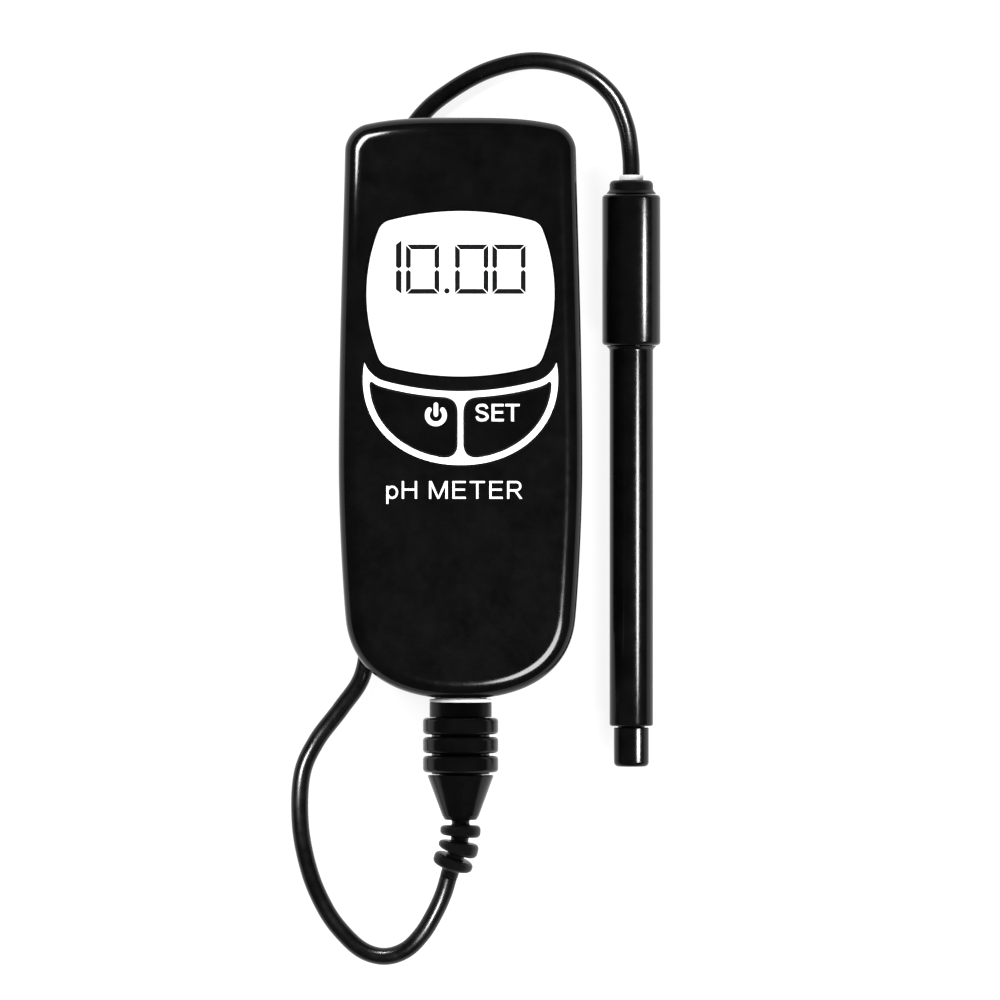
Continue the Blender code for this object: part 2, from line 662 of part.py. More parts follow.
# ---- circuit board and what it carries -----------------------------------------------------
board = plate("main_board", rounded_rectangle(-BOARD_HALF, BOARD_HALF, *BOARD_Y, 3.0, 3),
              *BOARD_Z, ((0.02, 0.16, 0.07), 0.5, 0.0))
boolean(board, cut_rods("board_notches", [(x, y, BOARD_Z[0] - 1.0, BOARD_Z[1] + 1.0, 3.7)
                                          for x, y in CASE_BOSSES], 20))
boolean(board, cut_rods("board_holes", [(x, y, BOARD_Z[0] - 1.0, BOARD_Z[1] + 1.0, 1.3)
                                        for x, y in BOARD_POSTS], 12))
BOARD_SCREW = [(0.0, 25.0), (1.0, 24.6), (1.0, 18.7), (2.0, 18.7), (2.0, 17.5), (1.7, 17.2),
               (0.8, 17.2), (0.7, 18.0), (0.0, 18.0)]
for index, (x, y) in enumerate(BOARD_POSTS, 1):
    turned(f"board_screw_{index}", BOARD_SCREW, (STEEL, 0.3, 1.0), (x, y, 0.0), 12, 'Z')
box("microcontroller", (-6.0, 6.0, 24.0, 36.0, 17.2, BOARD_Z[0] - GAP), (CHARCOAL, 0.5, 0.0))
shield = box("amplifier_shield", (-9.0, 9.0, -45.0, -28.0, BOARD_Z[1] + GAP, 24.8),
             (STEEL, 0.35, 1.0))
boolean(shield, cut_boxes("shield_hollow", [(-8.5, 8.5, -44.5, -28.5, 20.0, 24.3)]))

# ---- display ---------------------------------------------------------------------------------
plate("lcd_window", window_outline(), CASE_TOP - WINDOW_THICK, CASE_TOP, ((0.8, 0.82, 0.8), 0.08, 0.0))
box("lcd_glass", (-LCD_HALF, LCD_HALF, *LCD_Y, *LCD_Z), ((0.72, 0.75, 0.7), 0.15, 0.0))
lcd_frame = box("lcd_frame", (-FRAME_HALF, FRAME_HALF, *FRAME_Y, BOARD_Z[1] + GAP, LCD_Z[1]),
                (WHITE, 0.5, 0.0))
boolean(lcd_frame, cut_boxes("frame_opening", [(-LCD_HALF - GAP, LCD_HALF + GAP, LCD_Y[0] - GAP,
                                                LCD_Y[1] + GAP, 20.0, 29.0)]))
for name, y0 in (("lcd_connector_lower", 11.2), ("lcd_connector_upper", 47.4)):
    box(name, (-20.0, 20.0, y0, y0 + 2.0, BOARD_Z[1] + GAP, LCD_Z[0] - GAP),
        (CHARCOAL, 0.7, 0.0))

# ---- keypad -----------------------------------------------------------------------------------
bezel = plate("keypad_bezel", BEZEL, SEAT + GAP, CASE_TOP + 0.1, (WHITE, 0.35, 0.0))
for key_name, key_loop in KEYS.items():
    boolean(bezel, cut_plate(key_name + "_cutout", offset(key_loop, GAP), SEAT - 1.0,
                             CASE_TOP + 1.0))
for key_name, key_loop in KEYS.items():
    side = 1 if key_name == "set_button" else -1
    post_x = side * KEY_POST[0]
    origin = (post_x, KEY_POST[1], FRONT_INSIDE)
    flange_top = FRONT_INSIDE - GAP
    key = plate(key_name, key_loop, flange_top - 0.4, KEY_TOP, (BLACK, 0.45, 0.0), at=origin)
    top = (KEY_TOP - FRONT_INSIDE)
    round_edges(key, 0.35, 2, at_height(top))
    flange = cut_plate(key_name + "_flange", offset(key_loop, KEY_FLANGE), flange_top - 1.2,
                       flange_top)
    boolean(key, flange, 'UNION')
    post = cut_rods(key_name + "_post", [(post_x, KEY_POST[1], 22.8, flange_top - 0.8, 2.2)], 16)
    boolean(key, post, 'UNION')
    switch = box(key_name.replace("button", "switch"),
                 (post_x - 3.6, post_x + 3.6, KEY_POST[1] - 3.6, KEY_POST[1] + 3.6,
                  BOARD_Z[1] + GAP, 24.2), (CHARCOAL, 0.5, 0.0))
    boolean(switch, cut_rods(key_name + "_well", [(post_x, KEY_POST[1], 21.6, 25.0, 2.6)], 16))

# ---- socket in the lower end of the case -----------------------------------------------------------
AXIS = (0.0, 0.0, PLUG_Z)
METAL = ((0.05, 0.05, 0.055), 0.35, 0.6)
turned("socket_shell", [(5.7, -68.0), (6.9, -68.0), (6.9, -77.9), (8.24, -77.9), (8.24, -81.0),
                        (7.9, -81.5), (6.6, -81.5), (6.6, -88.6), (6.4, -88.8), (5.7, -88.8)],
       METAL, AXIS, 32, closed=True)
turned("socket_gasket", [(7.3, -77.2), (8.1, -77.2), (8.1, -77.6), (7.3, -77.6)],
       (CHARCOAL, 0.8, 0.0), AXIS, 32, closed=True)
nut_corner = 8.2 / math.cos(math.radians(30.0))
socket_nut = turned("socket_nut", [(0.0, -70.3), (nut_corner, -70.3), (nut_corner, -73.3),
                                   (0.0, -73.3)], (STEEL, 0.3, 1.0), AXIS, 6)
boolean(socket_nut, socket_hole)
PINS = [(PIN_CIRCLE * math.sin(math.tau * i / PIN_COUNT), PLUG_Z + PIN_CIRCLE
         * math.cos(math.tau * i / PIN_COUNT)) for i in range(PIN_COUNT)]
insert = turned("socket_insert", [(0.0, -69.0), (5.4, -69.0), (5.4, -78.6), (4.4, -78.6),
                                  (4.4, -86.0), (0.0, -86.0)], (WHITE, 0.5, 0.0), AXIS, 28)
boolean(insert, cut_rods("contact_holes", [(x, z, -90.0, -66.0, 1.3) for x, z in PINS], 12, 'Y'))
for index, (x, z) in enumerate(PINS, 1):
    turned(f"socket_contact_{index}", [(0.0, -64.0), (0.7, -64.0), (0.7, -68.0), (1.0, -68.0),
                                       (1.0, -85.7), (0.7, -85.7), (0.7, -77.5), (0.0, -77.5)],
           (GOLD, 0.25, 1.0), (x, 0.0, z), 12)
tube("sensor_lead", smooth_path([(0.0, -63.0, 17.0), (0.0, -60.0, 17.0), (0.0, -56.5, 16.9),
                                 (1.5, -52.5, 17.3), (4.0, -49.0, 17.5), (6.0, -46.0, 17.5)], 2.5),
     0.9, (CHARCOAL, 0.5, 0.0), 2)

# ---- plug ------------------------------------------------------------------------------------------
turned("plug_shell", [(4.7, -79.4), (5.4, -79.4), (5.4, -89.3), (6.6, -89.3), (6.6, -91.5),
                      (5.6, -91.5), (5.6, -100.0), (4.7, -100.0)],
       (STEEL, 0.3, 1.0), AXIS, 32, closed=True)
plug_insert = turned("plug_insert", [(0.0, -86.6), (4.4, -86.6), (4.4, -95.0), (0.0, -95.0)],
                     (CHARCOAL, 0.5, 0.0), AXIS, 28)
boolean(plug_insert, cut_rods("pin_holes", [(x, z, -97.0, -84.0, 0.75) for x, z in PINS], 12, 'Y'))
for index, (x, z) in enumerate(PINS, 1):
    turned(f"plug_pin_{index}", [(0.0, -80.0), (0.3, -80.1), (0.42, -80.8), (0.42, -97.0),
                                 (0.0, -97.0)], (GOLD, 0.25, 1.0), (x, 0.0, z), 8)
ribs = []
for y0, y1 in RIBS_Y:
    ribs += [(RIB_FLOOR, y0), (RIB_RADIUS - 0.9, y0), (RIB_RADIUS - 0.25, y0 - 0.25),
             (RIB_RADIUS, y0 - 0.9), (RIB_RADIUS, y1 + 0.9), (RIB_RADIUS - 0.25, y1 + 0.25),
             (RIB_RADIUS - 0.9, y1), (RIB_FLOOR, y1)]
turned("coupling_nut", [(6.9, RIBS_Y[0][0])] + ribs
       + [(5.9, RIBS_Y[2][1]), (5.9, -91.8), (6.9, -91.8)],
       (BLACK, 0.4, 0.0), (0.0, -89.0, PLUG_Z), 32, closed=True)
turned("plug_backshell", [(5.9, -97.2), (8.7, -97.2), (8.85, -97.5), (4.9, -107.8),
                          (4.6, -108.5), (3.8, -109.1), (3.2, -109.1), (3.2, -100.3),
                          (5.9, -100.3)],
       (BLACK, 0.35, 0.0), AXIS, 32, closed=True)
relief_path = smooth_path(RELIEF_ROUTE, 0.5)
relief_length = sum((b - a).length for a, b in zip(relief_path, relief_path[1:]))
DISCS = ((6.55, 9.45), (11.0, 13.9), (15.3, 18.1))
DISC_RADIUS = 5.35
CORE_RADIUS = 2.35
steps_along = [(0.0, 2.9), (4.9, 2.9), (5.2, CORE_RADIUS)]
for start, finish in DISCS:
    steps_along += [(start, CORE_RADIUS), (start + 0.1, DISC_RADIUS - 0.9),
                    (start + 0.35, DISC_RADIUS - 0.3), (start + 0.9, DISC_RADIUS),
                    (finish - 0.9, DISC_RADIUS), (finish - 0.35, DISC_RADIUS - 0.3),
                    (finish - 0.1, DISC_RADIUS - 0.9), (finish, CORE_RADIUS + 0.3)]
steps_along += [(relief_length - 1.6, CORE_RADIUS), (relief_length, CORE_RADIUS)]


def point_along(path, distance):
    for a, b in zip(path, path[1:]):
        step = (b - a).length
        if distance <= step or b is path[-1]:
            return a + (b - a) * (distance / step)
        distance -= step
    return path[-1]


tube("strain_relief", [point_along(relief_path, d) for d, _ in steps_along], 1.0,
     (BLACK, 0.6, 0.0), 6, [width for _, width in steps_along])
tube("probe_cord", smooth_path(CORD_ROUTE, 6.0), CORD_RADIUS, (BLACK, 0.45, 0.0), 3)

# ---- electrode ---------------------------------------------------------------------------------------
PROBE = (PROBE_X, 0.0, PROBE_Z)
turned("probe_gland", [(1.4, 60.8), (4.6, 60.8), (5.4, 60.4), (SHAFT_RADIUS, 59.6),
                       (SHAFT_RADIUS, 57.3), (4.2, 57.3),
                       (4.2, 50.0), (1.4, 50.0)], (BLACK, 0.5, 0.0), PROBE, 28, closed=True)
handle = turned("probe_handle", [(4.5, 57.0), (6.3, 57.0), (7.2, 56.6), (HANDLE_RADIUS, 55.7),
                                 (HANDLE_RADIUS, 18.1), (7.2, 17.2), (6.3, 16.9), (5.3, 16.9),
                                 (5.3, 30.6), (4.5, 30.6)], (BLACK, 0.45, 0.0), PROBE, 36,
                closed=True)
boolean(handle, cut_boxes("handle_flat", [(PROBE_X - 12.0, PROBE_X + 12.0, 10.0, 62.0,
                                           -8.0, 0.0)]))
turned("probe_shaft", [(4.2, 30.3), (5.0, 30.3), (5.0, 16.6), (SHAFT_RADIUS, 16.6),
                       (SHAFT_RADIUS, -84.0), (5.3, -84.4), (3.6, -84.4), (3.6, -87.0),
                       (3.0, -87.0), (3.0, -81.0), (4.2, -81.0)], (BLACK, 0.3, 0.0), PROBE, 32,
       closed=True)
turned("glass_electrode", [(0.0, -90.8), (0.9, -90.5), (1.7, -89.6), (2.0, -88.5), (1.9, -87.4),
                           (1.6, -86.0), (1.6, 26.0), (2.2, 26.0), (2.2, -86.0), (2.5, -87.4),
                           (2.6, -88.6), (2.2, -90.2), (1.3, -91.2), (0.0, -91.5)],
       ((0.75, 0.82, 0.84), 0.05, 0.0), PROBE, 24)
turned("reference_wire", [(0.0, 40.0), (0.5, 40.0), (0.5, -85.0), (0.0, -85.0)],
       (STEEL, 0.3, 1.0), PROBE, 10)
turned("temperature_sensor", [(0.0, 34.0), (0.5, 34.0), (0.5, -66.0), (0.0, -66.0)],
       (GOLD, 0.4, 0.6), (PROBE_X, 0.0, PROBE_Z + 3.2), 10)
turned("junction_ring", [(2.5, -74.0), (3.9, -74.0), (3.9, -80.7), (2.5, -80.7)],
       (WHITE, 0.8, 0.0), PROBE, 24, closed=True)
turned("protective_cap", [(0.0, -93.6), (2.6, -93.6), (3.2, -93.0), (3.2, -88.0), (3.9, -87.6),
                          (3.9, -84.8), (4.3, -84.8), (CAP_RADIUS, -85.2), (CAP_RADIUS, -93.6),
                          (4.2, -94.7), (3.2, -95.2), (0.0, -95.2)],
       (BLACK, 0.4, 0.0), (PROBE_X, -90.0, PROBE_Z), 28)

for item in PARTS.objects:
    if item.type == 'MESH' and not any(m.type == 'SCREW' for m in item.modifiers):
        smooth(item.data)
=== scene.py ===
import math

import bmesh
import bpy
from mathutils import Matrix, Vector
from mathutils.geometry import interpolate_bezier


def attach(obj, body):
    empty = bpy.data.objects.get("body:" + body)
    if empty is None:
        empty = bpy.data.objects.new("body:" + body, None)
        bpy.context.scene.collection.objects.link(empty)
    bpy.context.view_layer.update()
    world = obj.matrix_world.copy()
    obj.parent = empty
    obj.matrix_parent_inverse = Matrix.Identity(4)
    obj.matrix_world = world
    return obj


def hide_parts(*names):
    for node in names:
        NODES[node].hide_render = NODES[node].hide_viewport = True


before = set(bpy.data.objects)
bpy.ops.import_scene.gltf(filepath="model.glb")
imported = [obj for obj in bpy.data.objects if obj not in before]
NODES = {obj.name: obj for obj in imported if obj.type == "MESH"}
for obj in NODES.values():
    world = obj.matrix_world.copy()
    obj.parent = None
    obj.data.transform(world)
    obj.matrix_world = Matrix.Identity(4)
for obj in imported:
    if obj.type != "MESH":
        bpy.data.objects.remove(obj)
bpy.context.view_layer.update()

# The finished pH meter: fine meshes and materials over the plain solids.
# Lengths below are millimetres in the frame's axes, turned into metres by MM.
# +Z is the way the display faces, +Y the end of the case away from the plug.
MM = 0.001
GAP = 0.3  # play between neighbouring pieces
EDGE_ANGLE = 32.0  # edges that turn more than this stay sharp

# ---- driving dimensions, the same as the plain solids' ----
CASE_TOP = 30.0
CASE_UNDER = 6.2
PARTING = 17.0
WALL = 2.4
FRONT_WALL = 2.0
REAR_WALL = 2.2
FRONT_ROUND = 5.0
REAR_ROUND = 4.0
FRONT_HOLLOW_ROUND = 3.0
REAR_HOLLOW_ROUND = 2.2
RIM_EASE = 0.3  # softening of the case's parting edge
# Right half of the case outline: knot, handle before, handle after, points to the next knot.
CASE_KNOTS = (
    ((0.0, 77.0), None, (11.5, 77.0), 20),
    ((25.0, 75.25), (17.4, 76.9), (28.1, 74.55), 16),
    ((30.6, 68.3), (30.5, 71.4), (31.1, 43.6), 16),
    ((32.3, -14.4), (32.3, 16.2), (32.3, -29.0), 14),
    ((30.4, -56.0), (31.1, -49.2), (29.1, -68.8), 30),
    ((0.0, -77.0), (18.9, -77.0), None, 0),
)
HUMP_HALF = 20.0
HUMP_Y = (-60.0, 40.0)
HUMP_ROUND = 4.0
HUMP_EDGE = 1.0
HUMP_POCKET = (-17.6, 17.6, 0.5, 37.6)
BAY_HALF = 16.6
BAY_Y = (-57.3, -5.8)
BAY_CEILING = 14.2
BAY_WALL = 1.5
DOOR_Z = (0.4, 1.3, 2.2)
DOOR_HALF = 16.6
TONGUE_HALF = 17.9
DOOR_Y = (-59.9, -3.0)
CASE_BOSSES = ((-25.0, 64.0), (25.0, 64.0), (-24.5, -52.0), (24.5, -52.0))
BOARD_POSTS = ((-12.0, 62.0), (12.0, 62.0), (-18.0, -40.0), (18.0, -40.0))
BOARD_TOP = 20.6
WINDOW_CENTRE_Y = 30.3
WINDOW_HALF = (25.0, 22.0)
WINDOW_SIDE_RADIUS = 46.5
WINDOW_END_RADIUS = 73.0
WINDOW_CORNER = 4.2
WINDOW_THICK = 0.9
WINDOW_LEDGE = 1.6
LCD_TOP = 27.7
BOWL_CENTRE_Y = 7.6
BOWL_HALF = (25.8, 22.6)
BOWL_POWER = 2.1
BROW_GAP = 3.8  # from the window down to the bezel
OUTLINE_STEP = 0.6
KEY_MARGIN = 1.95
KEY_DIVIDER = 1.03
KEY_CORNERS = (3.8, 1.4, 3.7)
KEY_TOP = 30.6
KEY_FLANGE = 0.7
KEY_POST = (11.9, -4.1)
SEAT = CASE_TOP - 1.2
FRONT_INSIDE = CASE_TOP - FRONT_WALL
REAR_INSIDE = CASE_UNDER + REAR_WALL
PLUG_AXIS = (0.0, PARTING)  # x and z of the line through the plug and socket
SOCKET_HOLE = 7.2
RIB_RADIUS = 10.0
RIB_FLOOR = 7.7
NUT_END = -96.98
RIBS_Y = ((-82.0, -86.4), (-87.1, -91.4), (-92.1, -96.5))
PROBE_AXIS = (45.4, 5.85)  # x and z of the line through the electrode
HANDLE_RADIUS = 7.75
SHAFT_RADIUS = 5.8
CAP_RADIUS = 4.65
CORD_RADIUS = 2.3
# Middle of the cord (x, y, z), from the strain relief to the electrode's gland.
CORD_ROUTE = (
    (-3.2, -124.3, 15.2), (-4.6, -128.9, 13.9), (-6.9, -134.0, 12.2),
    (-10.2, -139.5, 10.1), (-14.6, -143.9, 8.0), (-20.2, -145.7, 6.1),
    (-26.0, -144.2, 4.5), (-31.3, -139.6, 3.3), (-36.0, -133.2, 2.6),
    (-40.2, -123.5, 2.4), (-42.7, -111.0, 2.4), (-42.3, -97.5, 2.4),
    (-38.4, -88.4, 2.4), (-31.8, -79.6, 2.4), (-26.2, -71.0, 2.4),
    (-24.6, -59.0, 2.4), (-24.6, -40.0, 2.4), (-24.6, -10.0, 2.4),
    (-24.6, 20.0, 2.4), (-24.3, 47.0, 2.4), (-20.3, 63.0, 2.4),
    (-11.2, 77.3, 2.4), (-2.7, 84.8, 2.4), (8.0, 90.5, 2.4),
    (19.9, 92.8, 2.4), (31.9, 90.1, 2.4), (40.0, 83.8, 2.8),
    (43.9, 75.6, 4.0), (45.2, 67.5, 5.4), (45.4, 61.1, 5.85),
)
RELIEF_ROUTE = (
    (0.0, -104.0, 17.0), (0.0, -108.5, 17.0), (-0.05, -112.0, 16.95),
    (-0.6, -116.4, 16.7), (-2.0, -120.4, 16.1), (-3.1, -124.0, 15.3),
)

# ---- camera: straight down, as good as parallel ----
FRAME_WIDTH = 265.7  # what the camera sees across
FRAME_CENTRE = (10.45, -24.25, 12.0)
LENS = 500.0


def make_camera():
    """A long lens far above, which sees the object square-on."""
    data = bpy.data.cameras.new("camera")
    data.lens = LENS
    data.sensor_width = 36.0
    distance = FRAME_WIDTH * LENS / data.sensor_width
    data.clip_end = 20.0
    camera = put("camera", data)
    x, y, z = FRAME_CENTRE
    camera.location = Vector((x, y, z + distance)) * MM
    bpy.context.scene.camera = camera


# ---- curves and outlines ----
def extended(points):
    """The points with one more beyond each end, in line with the last two."""
    return [points[0] * 2.0 - points[1]] + points + [points[-1] * 2.0 - points[-2]]


def smooth_path(points, spacing):
    """Points at an even spacing along a smooth curve through the given ones."""
    guides = extended([Vector(p) for p in points])
    fine = []
    for p0, p1, p2, p3 in zip(guides, guides[1:], guides[2:], guides[3:]):
        piece = interpolate_bezier(p1, p1 + (p2 - p0) / 6.0, p2 - (p3 - p1) / 6.0, p2, 17)
        fine.extend(piece if not fine else piece[1:])
    return evened(fine, spacing)


def evened(fine, spacing):
    """The same line again with its points an even distance apart."""
    travelled = [0.0]
    for a, b in zip(fine, fine[1:]):
        travelled.append(travelled[-1] + (b - a).length)
    count = max(2, round(travelled[-1] / spacing))
    even = []
    k = 0
    for i in range(count + 1):
        want = travelled[-1] * i / count
        while k < len(fine) - 2 and travelled[k + 1] < want:
            k += 1
        share = (want - travelled[k]) / (travelled[k + 1] - travelled[k])
        even.append(fine[k].lerp(fine[k + 1], share))
    return even


def path_length(points):
    """Length along a line of points."""
    return sum((b - a).length for a, b in zip(points, points[1:]))


def offset(outline, distance):
    """Move a counter-clockwise outline outwards by a distance (inwards if negative)."""
    moved = []
    count = len(outline)
    for i, (x, y) in enumerate(outline):
        here = Vector((x, y))
        a = (here - Vector(outline[i - 1])).normalized()
        b = (Vector(outline[(i + 1) % count]) - here).normalized()
        bisector = Vector((a.y + b.y, -a.x - b.x)).normalized()
        stretch = max(0.5, bisector.dot(Vector((a.y, -a.x))))
        moved.append(tuple(here + bisector * (distance / stretch)))
    return moved


def mirrored(right):
    """The left half that closes a right half, whose own ends lie on the middle line."""
    return [(-x, y) for x, y in reversed(right[1:-1])]


def case_outline(inset=0.0):
    """The case from above, counter-clockwise, moved inwards by an inset."""
    right = []
    for (knot, _, leaving, count), (following, arriving, _, _) in zip(CASE_KNOTS, CASE_KNOTS[1:]):
        piece = interpolate_bezier(*(Vector(p) for p in (knot, leaving, arriving, following)),
                                   count + 1)
        right.extend(tuple(p)[:2] for p in piece[:-1])
    right.append(CASE_KNOTS[-1][0])
    left = [(-x, y) for x, y in right[1:-1]]
    loop = list(reversed(right)) + left
    return offset(loop, -inset) if inset else loop


def arc_meeting(centre_a, radius_a, centre_b, radius_b):
    """The lower right-hand point at the given distances from two centres."""
    a = Vector(centre_a)
    b = Vector(centre_b)
    apart = (b - a).length
    along = (apart ** 2 + radius_a ** 2 - radius_b ** 2) / (2.0 * apart)
    aside = math.sqrt(radius_a ** 2 - along ** 2)
    step = (b - a) / apart
    choices = [a + step * along + Vector((step.y, -step.x)) * aside * sign for sign in (1, -1)]
    return max(choices, key=lambda point: point.x - point.y)


SIDE_CENTRE = Vector((WINDOW_HALF[0] - WINDOW_SIDE_RADIUS, 0.0))
END_CENTRE = Vector((0.0, WINDOW_END_RADIUS - WINDOW_HALF[1]))
CORNER_CENTRE = arc_meeting(SIDE_CENTRE, WINDOW_SIDE_RADIUS - WINDOW_CORNER,
                            END_CENTRE, WINDOW_END_RADIUS - WINDOW_CORNER)
END_DIRECTION = (CORNER_CENTRE - END_CENTRE).normalized()
SIDE_DIRECTION = (CORNER_CENTRE - SIDE_CENTRE).normalized()
WINDOW_ARCS = ((END_CENTRE, WINDOW_END_RADIUS), (CORNER_CENTRE, WINDOW_CORNER),
               (SIDE_CENTRE, WINDOW_SIDE_RADIUS))


def window_outline(grow=0.0):
    """The window: bulging sides and ends joined by corner arcs, counter-clockwise."""
    end_angle = math.atan2(END_DIRECTION.y, END_DIRECTION.x)
    side_angle = math.atan2(SIDE_DIRECTION.y, SIDE_DIRECTION.x)
    spans = ((-math.pi / 2, end_angle, 15), (end_angle, side_angle, 15), (side_angle, 0.0, 12))
    quarter = []
    for (centre, radius), (first, last, count) in zip(WINDOW_ARCS, spans):
        for i in range(count):
            angle = first + (last - first) * i / count
            quarter.append((centre.x + (radius + grow) * math.cos(angle),
                            centre.y + (radius + grow) * math.sin(angle)))
    quarter.append((WINDOW_HALF[0] + grow, 0.0))
    right = quarter + [(x, -y) for x, y in reversed(quarter[:-1])]
    return [(x, y + WINDOW_CENTRE_Y) for x, y in right + mirrored(right)]


def brow_y(x, grow):
    """Height of the lower edge of the grown window outline at a given x."""
    reaches = (END_DIRECTION.x * (WINDOW_END_RADIUS + grow),
               SIDE_CENTRE.x + SIDE_DIRECTION.x * (WINDOW_SIDE_RADIUS + grow), math.inf)
    centre, radius = next(part for part, reach in zip(WINDOW_ARCS, reaches) if abs(x) <= reach)
    drop = math.sqrt(max(0.0, (radius + grow) ** 2 - (abs(x) - centre.x) ** 2))
    return WINDOW_CENTRE_Y + centre.y - drop


def bowl_point(angle, inset):
    """A point of the bowl under the display: a squarish oval, at an angle from its middle."""
    c = math.cos(angle)
    s = math.sin(angle)
    return ((BOWL_HALF[0] - inset) * abs(c) ** (2.0 / BOWL_POWER),
            BOWL_CENTRE_Y + (BOWL_HALF[1] - inset) * math.copysign(abs(s) ** (2.0 / BOWL_POWER), s))


def crossing(measure, low, high):
    """The angle between two others at which a measure turns from negative to positive."""
    for _ in range(50):
        middle = (low + high) / 2.0
        if measure(middle) < 0.0:
            low = middle
        else:
            high = middle
    return high


def bowl_and_brow(inset, start):
    """Right-hand part of the bowl from x = start, up to the brow and back to x = start.

    Also gives the index of the outer tip, where the two meet."""
    grow = BROW_GAP + inset

    def above_brow(angle):
        x, y = bowl_point(angle, inset)
        return y - brow_y(x, grow)

    first = -math.pi / 2
    if start > 0.0:
        first = crossing(lambda angle: bowl_point(angle, inset)[0] - start, first, 0.0)
    last = 0.0
    while above_brow(last) < 0.0:
        last += 0.01
    last = crossing(above_brow, last - 0.01, last)
    bowl = [Vector(bowl_point(first + (last - first) * i / 400, inset)) for i in range(401)]
    bowl = evened(bowl, OUTLINE_STEP)
    reach = bowl[-1].x
    brow = [Vector((x, brow_y(x, grow))) for x in
            (start + (reach - start) * math.cos(math.pi / 2 * i / 400) for i in range(401))]
    brow = evened(brow, OUTLINE_STEP)
    return [tuple(p) for p in bowl + brow[1:]], len(bowl) - 1


def bezel_outline():
    """The pale surround of the keys: the bowl, closed by the brow under the window."""
    right, _ = bowl_and_brow(0.0, 0.0)
    return right + mirrored(right)


def soften(loop, corners):
    """Replace the corners, given as {index: reach}, by curves that start a reach away."""
    count = len(loop)
    curves = {}
    dropped = set()
    for index, reach in corners.items():
        ends = []
        for step in (-1, 1):
            left = reach
            i = index
            while True:
                here = Vector(loop[i])
                after = Vector(loop[(i + step) % count])
                gap = (after - here).length
                if gap > left:
                    ends.append(here.lerp(after, left / gap))
                    break
                left -= gap
                i = (i + step) % count
                dropped.add(i)
        corner = Vector(loop[index])
        curves[index] = [tuple(ends[0].lerp(corner, t).lerp(corner.lerp(ends[1], t), t))
                         for t in (i / 12 for i in range(13))]
    rounded = []
    for i, point in enumerate(loop):
        if i in curves:
            rounded.extend(curves[i])
        elif i not in dropped:
            rounded.append(point)
    return rounded


def key_outline(side):
    """Outline of one key, counter-clockwise; side is +1 for the right one, -1 for the left."""
    loop, tip = bowl_and_brow(KEY_MARGIN, KEY_DIVIDER)
    lower_inner, outer, upper_inner = KEY_CORNERS
    loop = soften(loop, {0: lower_inner, tip: outer, len(loop) - 1: upper_inner})
    if side < 0:
        loop = [(-x, y) for x, y in reversed(loop)]
    return loop


def rounded_rectangle(x0, x1, y0, y1, radius, steps=10):
    """A rectangle with round corners, counter-clockwise."""
    loop = []
    corners = ((x1 - radius, y1 - radius, 0.0), (x0 + radius, y1 - radius, 90.0),
               (x0 + radius, y0 + radius, 180.0), (x1 - radius, y0 + radius, 270.0))
    for cx, cy, start in corners:
        for i in range(steps + 1):
            angle = math.radians(start + 90.0 * i / steps)
            loop.append((cx + radius * math.cos(angle), cy + radius * math.sin(angle)))
    return loop


def filleted(points, steps=6):
    """A profile of (radius, height, fillet) corners turned into (radius, height) points."""
    done = []
    for i, (r, h, fillet) in enumerate(points):
        here = Vector((r, h))
        if not fillet:
            done.append(tuple(here))
            continue
        before = Vector(points[i - 1][:2]) - here
        after = Vector(points[(i + 1) % len(points)][:2]) - here
        half = before.angle(after) / 2.0
        if half > 1.5:
            done.append(tuple(here))
            continue
        reach = min(fillet / math.tan(half), 0.49 * before.length, 0.49 * after.length)
        a = here + before.normalized() * reach
        b = here + after.normalized() * reach
        centre = here + (before.normalized() + after.normalized()).normalized() \
            * (reach / math.cos(half))
        start = a - centre
        sweep = start.angle_signed(b - centre)
        for k in range(steps + 1):
            turn = -sweep * k / steps
            c, s = math.cos(turn), math.sin(turn)
            done.append((centre.x + start.x * c - start.y * s, centre.y + start.x * s + start.y * c))
    return done


# ---- meshes ----
def put(name, data):
    """Add an object to the scene."""
    obj = bpy.data.objects.new(name, data)
    bpy.context.scene.collection.objects.link(obj)
    return obj


def solid(name, verts, faces):
    """An object of the given faces (metres), all of them turned outwards."""
    mesh = bpy.data.meshes.new(name)
    mesh.from_pydata(verts, [], faces)
    bm = bmesh.new()
    bm.from_mesh(mesh)
    bmesh.ops.recalc_face_normals(bm, faces=bm.faces)
    bm.to_mesh(mesh)
    bm.free()
    return put(name, mesh)


def loft(name, rings, capped=True, closed=False):
    """Join rings of equally many points (millimetres) into a skin."""
    verts = [Vector(p) * MM for ring in rings for p in ring]
    count = len(rings[0])
    faces = []
    for k in range(len(rings) if closed else len(rings) - 1):
        a = k * count
        b = ((k + 1) % len(rings)) * count
        for i in range(count):
            j = (i + 1) % count
            faces.append((a + i, a + j, b + j, b + i))
    if capped and not closed:
        faces.append(tuple(reversed(range(count))))
        faces.append(tuple(range((len(rings) - 1) * count, len(rings) * count)))
    return solid(name, verts, faces)


def level(outline, z):
    """An outline lifted to a height."""
    return [(x, y, z) for x, y in outline]


def rounded_edge(outline, radius, face, sign, steps, inset=0.0):
    """Rings from an outline's wall over a rounded edge on to its face, which looks up or down."""
    return [level(offset(outline, -inset - radius * (1.0 - math.cos(angle))),
                  face - sign * radius * (1.0 - math.sin(angle)))
            for angle in arc(0.0, 90.0, steps)]


def slab(name, outline, z0, z1):
    """A prism with upright walls."""
    return loft(name, [level(outline, z0), level(outline, z1)])


def flared(name, outline, z0, z1, flare):
    """A slab whose top edge spreads outwards, to cut a hole with a softened rim."""
    return loft(name, [level(outline, z0), level(outline, z1 - flare),
                       level(offset(outline, 2.0 * flare), z1 + flare)])


